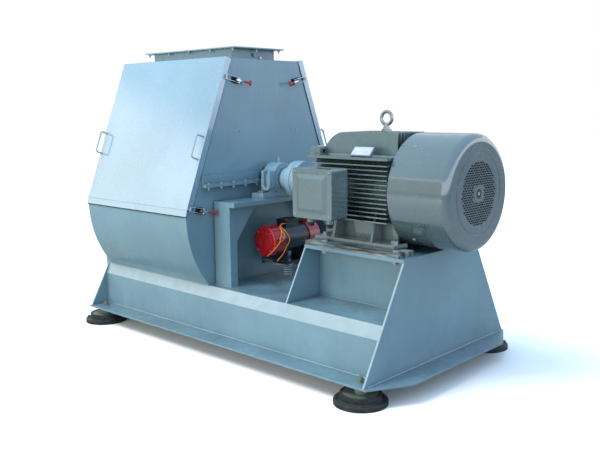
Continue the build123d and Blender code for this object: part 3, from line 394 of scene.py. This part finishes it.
# ---------------------------------------------------------------- shapes
def mesh_piece(name, body, material, bm, smooth=40):
    """Object from a bmesh, shaded smooth below the angle given, riding on a body or node if one is named."""
    data = bpy.data.meshes.new(name)
    bmesh.ops.recalc_face_normals(bm, faces=bm.faces)
    bm.to_mesh(data)
    bm.free()
    piece = bpy.data.objects.new(name, data)
    bpy.context.scene.collection.objects.link(piece)
    data.materials.append(material)
    for face in data.polygons:
        face.use_smooth = True
    bpy.context.view_layer.objects.active = piece
    piece.select_set(True)
    bpy.ops.object.shade_smooth_by_angle(angle=math.radians(smooth))
    piece.select_set(False)
    if body:
        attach(piece, body)
    return piece


def frame_at(place, direction):
    """Matrix that puts +Z along a direction at a place."""
    turn = Vector(direction).to_track_quat("Z", "Y").to_matrix().to_4x4()
    return Matrix.Translation(Vector(place)) @ turn


def lathe(bm, profile, matrix, steps=32):
    """Adds a closed turned solid: the profile's (radius, height) points run from axis to axis."""
    rings = []
    for radius, height in profile:
        if radius == 0:
            rings.append([bm.verts.new(matrix @ Vector((0, 0, height)))])
            continue
        ring = []
        for k in range(steps):
            a = 2 * math.pi * k / steps
            ring.append(bm.verts.new(matrix @ Vector((radius * math.cos(a), radius * math.sin(a), height))))
        rings.append(ring)
    for ring, after in zip(rings, rings[1:]):
        for k in range(steps):
            n = (k + 1) % steps
            if len(ring) == 1:
                bm.faces.new((ring[0], after[n], after[k]))
            elif len(after) == 1:
                bm.faces.new((ring[k], ring[n], after[0]))
            else:
                bm.faces.new((ring[k], ring[n], after[n], after[k]))


def rod(bm, radius, start, end, matrix, steps=32):
    """Adds a plain round bar between two heights."""
    lathe(bm, [(0, start), (radius, start), (radius, end), (0, end)], matrix, steps)


def rounded_block(bm, size, matrix, rounding, segments=2):
    """Fills an empty bmesh with a box of the size given, its edges rounded."""
    corners = bmesh.ops.create_cube(bm, size=1.0)["verts"]
    bmesh.ops.scale(bm, verts=corners, vec=size)
    bmesh.ops.bevel(bm, geom=bm.edges[:], offset=rounding, segments=segments, affect="EDGES")
    bmesh.ops.transform(bm, matrix=matrix, verts=bm.verts)


def washer_nut(bm, place, direction, size, stud=0.0):
    """Washer, chamfered hexagon and the rounded end of its bolt."""
    m = frame_at(place, direction)
    washer = 0.16 * size
    rod(bm, 1.05 * size, 0, washer, m, 28)
    flat = 0.92 * size
    top = washer + 0.75 * size
    hexagon = [(0, washer), (flat, washer), (flat, top - 0.1 * size), (0.8 * size, top), (0, top)]
    lathe(bm, hexagon, m, 6)
    if stud:
        end = top + stud
        bolt_end = [(0, top), (0.5 * size, top), (0.5 * size, end - 0.1 * size), (0.4 * size, end), (0, end)]
        lathe(bm, bolt_end, m, 20)


def dome_screw(bm, place, direction, radius):
    """Pan-head screw with a socket."""
    m = frame_at(place, direction)
    h = 0.55 * radius
    dome = [(0, 0), (radius, 0), (radius, 0.35 * h), (0.85 * radius, 0.75 * h), (0.5 * radius, h),
            (0.3 * radius, h), (0.2 * radius, 0.6 * h), (0, 0.6 * h)]
    lathe(bm, dome, m, 24)


def tube(name, body, material, points, radius):
    """Cable along a smooth curve through the points."""
    curve = bpy.data.curves.new(name, "CURVE")
    curve.dimensions = "3D"
    curve.bevel_depth = radius
    curve.bevel_resolution = 5
    curve.use_fill_caps = True
    spline = curve.splines.new("BEZIER")
    spline.bezier_points.add(len(points) - 1)
    for knot, point in zip(spline.bezier_points, points):
        knot.co = point
        knot.handle_left_type = knot.handle_right_type = "AUTO"
    spline.resolution_u = 14
    piece = bpy.data.objects.new(name, curve)
    bpy.context.scene.collection.objects.link(piece)
    curve.materials.append(material)
    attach(piece, body)


def weld_bead(bm, start, end, radius):
    """Rippled bead along a straight seam."""
    start, end = Vector(start), Vector(end)
    length = (end - start).length
    m = frame_at(start, end - start)
    count = max(4, int(length / 0.012))
    profile = [(0, 0)]
    for k in range(count + 1):
        swell = radius * (1 + 0.18 * (k % 2) + random.uniform(-0.12, 0.12))
        profile.append((swell, length * k / count))
    profile.append((0, length))
    lathe(bm, profile, m, 8)


def bolts(name, places, direction, size, stud=0.0):
    """One piece of zinc-plated bolts that all point the same way."""
    bm = bmesh.new()
    for place in places:
        washer_nut(bm, place, direction, size, stud)
    mesh_piece(name, "machine", ZINC, bm, 30)


# ---------------------------------------------------------------- details on the mill
def inlet_bolts():
    """Bolts left hanging in the inlet flange, nuts below."""
    middle = (low("inlet_hopper").x + high("inlet_hopper").x) / 2
    pitch = 0.230
    row_y = high("inlet_hopper").y - 0.018
    spots = [(middle + (k - 2) * pitch, sy * row_y) for k in range(5) for sy in SIDES]
    spots += [(middle + sx * 2 * pitch, 0) for sx in SIDES]
    bolts("inlet_flange_nuts", [(x, y, INLET_TOP - 0.008) for x, y in spots], (0, 0, -1), 0.010, 0.012)
    bolts("inlet_flange_heads", [(x, y, INLET_TOP - 0.0085) for x, y in spots], (0, 0, 1), 0.0095)


def door_edge_strips():
    """Rubber strip where each door's side return laps the casing's end plates; its dark also stands in as
    painted shade of the gap there.
    """
    for node, sy in (("front_door", -1), ("rear_door", 1)):
        bottom = Vector((0, sy * 0.722, FOLD_Z))
        top = Vector((0, sy * 0.358, 1.895))
        along = (top - bottom).normalized()
        inward = Vector((0, -sy * along.z, -abs(along.y)))
        depth = 0.0435
        start = bottom + inward * depth + along * 0.004
        end = top + inward * depth - along * 0.035
        for side, x in (("drive", CASE_FACE + 0.003), ("far", 2 * CASE_MIDDLE - CASE_FACE - 0.003)):
            bm = bmesh.new()
            # dark rubber strip, also the painted shade of the gap between door and end plate
            rod(bm, 0.0028, 0, (end - start).length, frame_at(start + Vector((x, 0, 0)), end - start), 10)
            mesh_piece(f"{node}_edging_{side}", "machine", SEAL, bm)


def door_foot_lines():
    """Seal under each door's lower lip, and the rounded fold above the lip."""
    half = (high("front_door").x - low("front_door").x) / 2 - 0.006
    for node, sy in (("front_door", -1), ("rear_door", 1)):
        for part, body, material, y, z, radius in (("lip_seal", "machine", SEAL, 0.7285, 0.886, 0.0036),
                                                   ("fold", node, DOOR, 0.7215, FOLD_Z, 0.0022)):
            bm = bmesh.new()
            rod(bm, radius, -half, half, frame_at((CASE_MIDDLE, sy * y, z), (1, 0, 0)), 12)
            mesh_piece(f"{node}_{part}", body, material, bm)


def end_plate_screws():
    """Small screw pairs on both casing end plates."""
    bm = bmesh.new()
    row_z = 1.415
    for y in (-0.293, -0.251, 0.251, 0.293):
        dome_screw(bm, (CASE_FACE, y, row_z), (1, 0, 0), 0.007)
        dome_screw(bm, (2 * CASE_MIDDLE - CASE_FACE, y, row_z), (-1, 0, 0), 0.007)
    mesh_piece("end_plate_screws", "machine", ZINC, bm)


def welds():
    """Beads along the seams of the base, casing, pedestals and stand."""
    bm = bmesh.new()

    def bead(start, end, radius=0.004):
        weld_bead(bm, start, end, radius)

    stand_x = low("motor_stand").x
    end_x = BASE_X - 0.012
    case_x, case_y = low("lower_casing").x + 0.045, DECK_Y - 0.001
    leg_x, leg_y = 0.025, 0.498                 # outer corner of the pedestal's legs
    web_y = 0.245                               # outer faces of the stand's length webs
    for sy in SIDES:
        bead((-BASE_X, sy * SIDE_Y, BASE_TOP), (BASE_X, sy * SIDE_Y, BASE_TOP), 0.005)
        bead((case_x, sy * case_y, DECK), (CASE_FACE, sy * case_y, DECK), 0.0045)
        bead((stand_x, sy * 0.545, DECK), (stand_x, sy * 0.02, DECK))
        for x in (-end_x, end_x):
            bead((x, sy * SIDE_Y, BASE_TOP), (x, sy * SIDE_Y, SHOULDER_Z))
            bead((x, sy * SIDE_Y, SHOULDER_Z), (x, sy * DECK_Y, DECK))
        for x in (-BASE_X, BASE_X):
            bead((x, sy * 0.70, BASE_TOP), (x, 0, BASE_TOP), 0.005)
        bead((-0.125, sy * leg_y, DECK), (leg_x, sy * leg_y, DECK))
        bead((leg_x, sy * leg_y, DECK), (leg_x, sy * 0.437, DECK))
        bead((stand_x + 0.01, sy * web_y, DECK), (end_x, sy * web_y, DECK))
    bead((CASE_FACE, -0.54, DECK), (CASE_FACE, 0.54, DECK))
    mesh_piece("weld_beads", "machine", CASING, bm, 70)


def corners_at(radius):
    """Four (across, up) offsets on the diagonals of a circle."""
    angles = [math.radians(45 + 90 * k) for k in range(4)]
    return [(radius * math.cos(a), radius * math.sin(a)) for a in angles]


def foot_details():
    """Small bolts on each rubber flange."""
    bm = bmesh.new()
    flange_z = 0.026
    for sx in SIDES:
        for sy in SIDES:
            for dx, dy in corners_at(0.133):
                place = (sx * FOOT_X + dx, sy * FOOT_Y + dy, flange_z)
                washer_nut(bm, place, (0, 0, 1), 0.0085, 0.006)
    mesh_piece("foot_flange_bolts", "machine", DARK_STEEL, bm, 30)


def bolt_lug(bm, x, sy):
    """U-shaped cast lug that carries the housing's cap bolt, standing off its side."""
    outer, inner, top, bottom = 0.040, 0.019, 1.150, 1.052
    y0, y1 = sy * 0.096, sy * 0.150

    def arch(radius):
        """U outline, open at the top."""
        points = [(-radius, top)]
        for k in range(17):
            a = math.pi * (1 + k / 16)
            points.append((radius * math.cos(a), bottom + radius * math.sin(a)))
        return points + [(radius, top)]

    def rows(y):
        """Outer and inner outline at one end of the lug."""
        return [[bm.verts.new((x + u, y, z)) for u, z in arch(radius)] for radius in (outer, inner)]

    (out0, in0), (out1, in1) = rows(y0), rows(y1)
    for a, b in ((out0, out1), (out1, in1), (in1, in0), (in0, out0)):
        for k in range(len(a) - 1):
            bm.faces.new((a[k], a[k + 1], b[k + 1], b[k]))
    for end in (0, -1):
        bm.faces.new((out0[end], out1[end], in1[end], in0[end]))


def housing_lugs():
    """Two lugs on each bearing housing."""
    bm = bmesh.new()
    inset = 0.045
    for x in (high("bearing_housings").x - inset, low("bearing_housings").x + inset):
        for sy in SIDES:
            bolt_lug(bm, x, sy)
    bmesh.ops.recalc_face_normals(bm, faces=bm.faces)
    sharp = [edge for edge in bm.edges if edge.calc_face_angle(0) > 0.8]
    bmesh.ops.bevel(bm, geom=sharp, offset=0.004, segments=3, affect="EDGES")
    mesh_piece("housing_lugs", "machine", HOUSING, bm)


def housing_details():
    """Cap bolts and grease nipple on both bearing housings."""
    bm = bmesh.new()
    inset = 0.063
    nipple = [(0, 0), (0.006, 0), (0.006, 0.010), (0.004, 0.013), (0.005, 0.017), (0.003, 0.022), (0, 0.022)]
    for x in (high("bearing_housings").x - inset, low("bearing_housings").x + inset):
        for sy in SIDES:
            washer_nut(bm, (x, sy * 0.104, SHAFT_Z + 0.030), (0, 0, 1), 0.017, 0.010)
        lathe(bm, nipple, frame_at((x, 0, high("bearing_housings").z - 0.001), (0, 0, 1)), 16)
    mesh_piece("housing_cap_bolts", "machine", ZINC, bm, 30)


def clamp_grips():
    """Red dipped sleeve and flared end on every clamp lever."""
    for joint in frame["joints"]:
        if not joint["name"].startswith("clamp_"):
            continue
        body = joint["child"]
        pivot = Vector(joint["pos_m"])
        across = Vector(joint["axis"]).normalized()
        out = Vector((1 if pivot.x > CASE_MIDDLE else -1, 0, 0))
        along = across.cross(out)
        centre = (low(body) + high(body)) / 2
        if along.dot(centre - pivot) < 0:
            along = -along
        end = pivot + along * 0.100 + out * 0.022
        start = pivot + along * 0.048 + out * 0.008
        bm = bmesh.new()
        length = (end - start).length
        sleeve = [(0, 0), (0.0052, 0), (0.0060, 0.004), (0.0068, 0.5 * length), (0.0078, length - 0.008),
                  (0.0090, length), (0.0086, length + 0.004), (0, length + 0.006)]
        lathe(bm, sleeve, frame_at(start, end - start), 20)
        flare = [(0, -0.017), (0.0072, -0.017), (0.0084, -0.014),
                 (0.0084, 0.014), (0.0072, 0.017), (0, 0.017)]
        lathe(bm, flare, frame_at(end, across), 20)
        mesh_piece(f"grip_{joint['name']}", body, GRIP, bm)


def vibrator_details():
    """Junction cover, cap discs, cable loops, cap screws and base bolts on the vibration motor."""
    x, z = VIBRATOR_X, VIBRATOR_Z
    top = high("vibrator_body").z
    face = high("vibrator_caps").y - 0.0005
    bm = bmesh.new()
    rounded_block(bm, (0.104, 0.134, 0.022), Matrix.Translation((x, 0, top + 0.004)), 0.006, 3)
    mesh_piece("vibrator_junction_cover", "screen_carrier", BLACK, bm)
    bm = bmesh.new()
    disc = [(0, 0), (0.068, 0), (0.066, 0.003), (0.050, 0.003), (0.048, 0.0015), (0, 0.0015)]
    for sy in SIDES:
        lathe(bm, disc, frame_at((x, sy * face, z), (0, sy, 0)), 48)
    mesh_piece("vibrator_cap_discs", "screen_carrier", RED, bm)
    bm = bmesh.new()
    for sy in SIDES:
        for dx, dz in corners_at(0.084):
            dome_screw(bm, (x + dx, sy * face, z + dz), (0, sy, 0), 0.005)
        for dx in (-0.036, 0.070):
            washer_nut(bm, (x + dx, sy * 0.062, 0.538), (0, 0, 1), 0.010, 0.006)
    for dx in (-0.04, 0.04):
        for y in (-0.055, 0.055):
            dome_screw(bm, (x + dx, y, top + 0.0148), (0, 0, 1), 0.0055)
    mesh_piece("vibrator_screws", "screen_carrier", ZINC, bm)
    gland = [(x + 0.040, -0.050, top - 0.010), (x + 0.043, -0.112, top - 0.018)]
    loops = (
        [(0.135, -0.146, 0.764), (0.168, -0.144, 0.735), (0.170, -0.153, 0.708), (0.169, -0.194, 0.682),
         (0.156, -0.231, 0.642), (0.093, -0.232, 0.591)],
        [(0.160, -0.116, 0.742), (0.174, -0.101, 0.698), (0.174, -0.130, 0.654), (0.168, -0.162, 0.605),
         (0.140, -0.189, 0.558)],
        [(0.150, -0.154, 0.748), (0.168, -0.181, 0.712), (0.170, -0.196, 0.684), (0.158, -0.229, 0.648)],
    )
    for k, loop in enumerate(loops, 1):
        tube(f"cable_loop_{k}", "screen_carrier", CABLE, gland + loop, 0.0028)


def coil_spring():
    """Spring under the vibrator plate, its foot on the deck and its top on the shaking carrier."""
    foot, head = low("vibrator_spring"), high("vibrator_spring")
    centre = (foot + head) / 2
    wire, turns, steps, sides = 0.0028, 5, 200, 12
    coil = (head.x - foot.x) / 2 - wire
    z0, z1 = foot.z + wire, head.z - wire
    rise = (z1 - z0) / (2 * math.pi * turns)
    around = [2 * math.pi * j / sides for j in range(sides)]
    bm = bmesh.new()
    rings = []
    for k in range(steps + 1):
        a = 2 * math.pi * turns * k / steps
        out = Vector((math.cos(a), math.sin(a), 0))
        along = Vector((-coil * math.sin(a), coil * math.cos(a), rise)).normalized()
        side = along.cross(out)
        middle = Vector((centre.x, centre.y, z0 + (z1 - z0) * k / steps)) + coil * out
        rings.append([bm.verts.new(middle + wire * (math.cos(b) * out + math.sin(b) * side)) for b in around])
    for first, second in zip(rings, rings[1:]):
        for j in range(sides):
            n = (j + 1) % sides
            bm.faces.new((first[j], first[n], second[n], second[j]))
    bm.faces.new(rings[0])
    bm.faces.new(rings[-1])
    piece = mesh_piece("spring_coil", None, SPRING, bm)
    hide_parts("vibrator_spring")
    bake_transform(piece)


# ---------------------------------------------------------------- details on the motor
def motor_screws():
    """Cowl screws and lid screws in one piece, shield bolts in another."""
    bm = bmesh.new()
    screws_x, radius = 1.240, high("fan_cowl").y - 0.0005
    for degrees in (-52, 52, 128, 232):
        a = math.radians(degrees)
        out = Vector((0, -math.cos(a), math.sin(a)))
        dome_screw(bm, Vector((screws_x, 0, SHAFT_Z)) + out * radius, out, 0.011)
    lid_low, lid_high = low("terminal_cover"), high("terminal_cover")
    rim_y, inset = lid_high.y - 0.009, 0.020
    for x in (lid_low.x + inset, lid_high.x - inset):
        for z in (lid_low.z + inset, lid_high.z - inset):
            dome_screw(bm, (x, rim_y, z), (0, -1, 0), 0.008)
    mesh_piece("motor_screws", "machine", ZINC, bm)
    shield_x, circle = low("motor_frame").x + 0.019, 0.262
    places = []
    for k in range(8):
        a = math.radians(22.5 + 45 * k)
        places.append((shield_x, circle * math.cos(a), SHAFT_Z + circle * math.sin(a)))
    bolts("shield_bolts", places, (-1, 0, 0), 0.012)


def name_plate():
    """Blank plate with four rivets and its bracket, on a slope at the frame's front shoulder."""
    turn = Matrix.Translation((0.930, -0.281, 1.3175)) @ Matrix.Rotation(math.radians(47), 4, "X")
    normal = turn.to_3x3() @ Vector((0, 0, 1))
    bm = bmesh.new()
    rounded_block(bm, (0.135, 0.058, 0.0016), turn, 0.0006)
    for dx in (-0.061, 0.061):
        for dy in (-0.023, 0.023):
            dome_screw(bm, turn @ Vector((dx, dy, 0.0008)), normal, 0.0028)
    mesh_piece("name_plate", "machine", ALUMINIUM, bm)
    bm = bmesh.new()
    rounded_block(bm, (0.145, 0.072, 0.016), turn @ Matrix.Translation((0, 0, -0.0092)), 0.0015)
    mesh_piece("name_plate_bracket", "machine", MOTOR, bm)


def cowl_hub():
    """Black disc painted as the shade of a recess round the hub, and a bolt, in the plain middle of the
    grille, a hair proud of it.
    """
    face = frame_at((high("fan_cowl").x, 0, SHAFT_Z), (1, 0, 0))
    bm = bmesh.new()
    # painted shade: a black disc for the dark of a recess round the hub
    rod(bm, 0.026, -0.002, 0.0001, face)
    mesh_piece("cowl_hub_painted_shade", "machine", BLACK, bm)
    bm = bmesh.new()
    rod(bm, 0.012, -0.002, 0.0002, face, 6)
    mesh_piece("cowl_hub_bolt", "machine", ZINC, bm)


def gland_nuts():
    """Cable glands under the terminal box."""
    bm = bmesh.new()
    box_z, gland_y = low("terminal_box").z, -0.466
    for x in (0.700, 0.846):
        m = frame_at((x, gland_y, box_z + 0.002), (0, 0, -1))
        lathe(bm, [(0, 0), (0.023, 0), (0.023, 0.012), (0.020, 0.014), (0, 0.014)], m, 6)
        lathe(bm, [(0, 0.013), (0.019, 0.013), (0.018, 0.022), (0.012, 0.027), (0, 0.027)], m, 28)
    mesh_piece("gland_nuts", "machine", BLACK, bm, 30)


inlet_bolts()
door_edge_strips()
door_foot_lines()
end_plate_screws()
welds()
foot_details()
housing_lugs()
housing_details()
clamp_grips()
vibrator_details()
coil_spring()
motor_screws()
name_plate()
cowl_hub()
gland_nuts()


# ---------------------------------------------------------------- stage
def floor():
    """Floor, pale to the camera and white far off; it sends grey light back to the machine."""
    bpy.ops.mesh.primitive_plane_add(size=60)
    plane = bpy.context.object
    plane.name = "floor"
    s = Shader("floor_paint")
    seen = s.node("ShaderNodeLightPath").outputs["Is Camera Ray"]
    ground = (0.34, 0.36, 0.35, 1)
    pale = s.mix(s.ramp(s.noise(0.8, 3), 0.3, 0.7), (0.94, 0.90, 0.87, 1), (0.98, 0.94, 0.91, 1))
    distance = s.node("ShaderNodeVectorMath", operation="LENGTH")
    s.link(s.coords, distance.inputs[0])
    glow = s.math("MULTIPLY", seen, s.ramp(distance.outputs["Value"], 2.5, 7.0, 0.0, 0.6))
    s.set(Base_Color=s.mix(seen, ground, pale), Roughness=0.6, Specular_IOR_Level=0.0)
    s.set(Emission_Color=(1, 1, 1, 1), Emission_Strength=glow)
    plane.data.materials.append(s.material)


def world():
    """White backdrop to the camera; to everything else grey ground, a belt of trees, haze and blue sky."""
    made = bpy.data.worlds.new("studio")
    bpy.context.scene.world = made
    made.use_nodes = True
    tree = made.node_tree
    tree.nodes.clear()

    def link(source, target):
        tree.links.new(source, target)

    def spread(value, start, end, to_low, to_high):
        """Value stretched from start..end to to_low..to_high."""
        node = tree.nodes.new("ShaderNodeMapRange")
        link(value, node.inputs["Value"])
        for key, number in (("From Min", start), ("From Max", end), ("To Min", to_low), ("To Max", to_high)):
            node.inputs[key].default_value = number
        return node.outputs[0]

    def blend(factor, a, b, kind="MIX"):
        """Colour a where the factor is 0, b (or a times b) where it is 1."""
        node = tree.nodes.new("ShaderNodeMix")
        node.data_type = "RGBA"
        node.blend_type = kind
        for socket, value in ((node.inputs["Factor"], factor), (node.inputs[6], a), (node.inputs[7], b)):
            if isinstance(value, bpy.types.NodeSocket):
                link(value, socket)
            else:
                socket.default_value = value
        return node.outputs[2]

    def times(a, b):
        """Product of two values."""
        node = tree.nodes.new("ShaderNodeMath")
        node.operation = "MULTIPLY"
        link(a, node.inputs[0])
        link(b, node.inputs[1])
        return node.outputs[0]

    coords = tree.nodes.new("ShaderNodeTexCoord").outputs["Generated"]
    split = tree.nodes.new("ShaderNodeSeparateXYZ")
    link(coords, split.inputs[0])
    clouds = tree.nodes.new("ShaderNodeTexNoise")
    clouds.inputs["Scale"].default_value = 3.0
    clouds.inputs["Detail"].default_value = 3.0
    link(coords, clouds.inputs["Vector"])
    lift = tree.nodes.new("ShaderNodeMath")
    lift.operation = "MULTIPLY_ADD"
    link(clouds.outputs["Fac"], lift.inputs[0])
    lift.inputs[1].default_value = 0.14
    link(split.outputs["Z"], lift.inputs[2])
    haze_colour, zenith_colour = (1.40, 1.42, 1.36, 1), (0.54, 0.74, 0.94, 1)
    away_tint = (1.0, 1.12, 1.34, 1)            # sky beyond the motor end, bluer and brighter
    tree_colour, ground_colour = (0.50, 0.56, 0.55, 1), (0.33, 0.37, 0.37, 1)
    zenith = spread(lift.outputs[0], 0.43, 0.47, 0.0, 1.0)
    sky = blend(zenith, haze_colour, zenith_colour)
    away = spread(split.outputs["X"], -0.2, 0.75, 0.0, 1.0)
    sky = blend(away, sky, away_tint, "MULTIPLY")
    trees = spread(lift.outputs[0], 0.40, 0.425, 1.0, 0.0)
    for x_none, x_full in ((0.1, -0.3), (-0.74, -0.68)):
        trees = times(trees, spread(split.outputs["X"], x_none, x_full, 0.0, 1.0))
    sky = blend(trees, sky, tree_colour)
    ground = spread(split.outputs["Z"], -0.05, 0.02, 1.0, 0.0)
    sky = blend(ground, sky, ground_colour)
    light = tree.nodes.new("ShaderNodeBackground")
    link(sky, light.inputs["Color"])
    white = tree.nodes.new("ShaderNodeBackground")
    white.inputs["Color"].default_value = (1, 1, 1, 1)
    path = tree.nodes.new("ShaderNodeLightPath")
    pick = tree.nodes.new("ShaderNodeMixShader")
    link(path.outputs["Is Camera Ray"], pick.inputs[0])
    link(light.outputs[0], pick.inputs[1])
    link(white.outputs[0], pick.inputs[2])
    out = tree.nodes.new("ShaderNodeOutputWorld")
    link(pick.outputs[0], out.inputs[0])


def area_light(name, place, target, size, power, colour):
    """Square lamp aimed at a target; shiny surfaces mirror the sky, not the lamps."""
    data = bpy.data.lights.new(name, "AREA")
    data.size = size
    data.energy = power
    data.color = colour
    lamp = bpy.data.objects.new(name, data)
    bpy.context.scene.collection.objects.link(lamp)
    lamp.visible_glossy = False
    lamp.location = place
    lamp.rotation_euler = (Vector(target) - Vector(place)).to_track_quat("-Z", "Y").to_euler()


def camera():
    """Three-quarter view from the front of the motor end."""
    target = Vector((0.1738, 0.0, 0.7682))
    distance = 5.151
    azimuth, elevation, roll = map(math.radians, (43.24, 9.01, -0.54))
    back = Vector((math.sin(azimuth) * math.cos(elevation), -math.cos(azimuth) * math.cos(elevation),
                   math.sin(elevation)))
    data = bpy.data.cameras.new("camera")
    data.lens = 45.8
    data.sensor_width = 36.0
    data.shift_y = -0.0025
    seen = bpy.data.objects.new("camera", data)
    bpy.context.scene.collection.objects.link(seen)
    turn = back.to_track_quat("Z", "Y").to_matrix().to_4x4()
    seen.matrix_world = Matrix.Translation(target + distance * back) @ turn @ Matrix.Rotation(roll, 4, "Z")
    bpy.context.scene.camera = seen


floor()
world()
area_light("key", (-4.2, -8.0, 15.2), (0, 0, 0.9), size=7.0, power=2300, colour=(1.0, 0.98, 0.94))
area_light("front", (-0.4, -6.5, 1.4), (0.2, 0, 0.8), size=3.5, power=215, colour=(1.0, 0.93, 0.78))
area_light("top", (0.5, 0.5, 6.0), (0, 0, 0.6), size=4.0, power=130, colour=(0.42, 0.74, 1.0))
camera()
bpy.context.scene.view_settings.view_transform = "Standard"
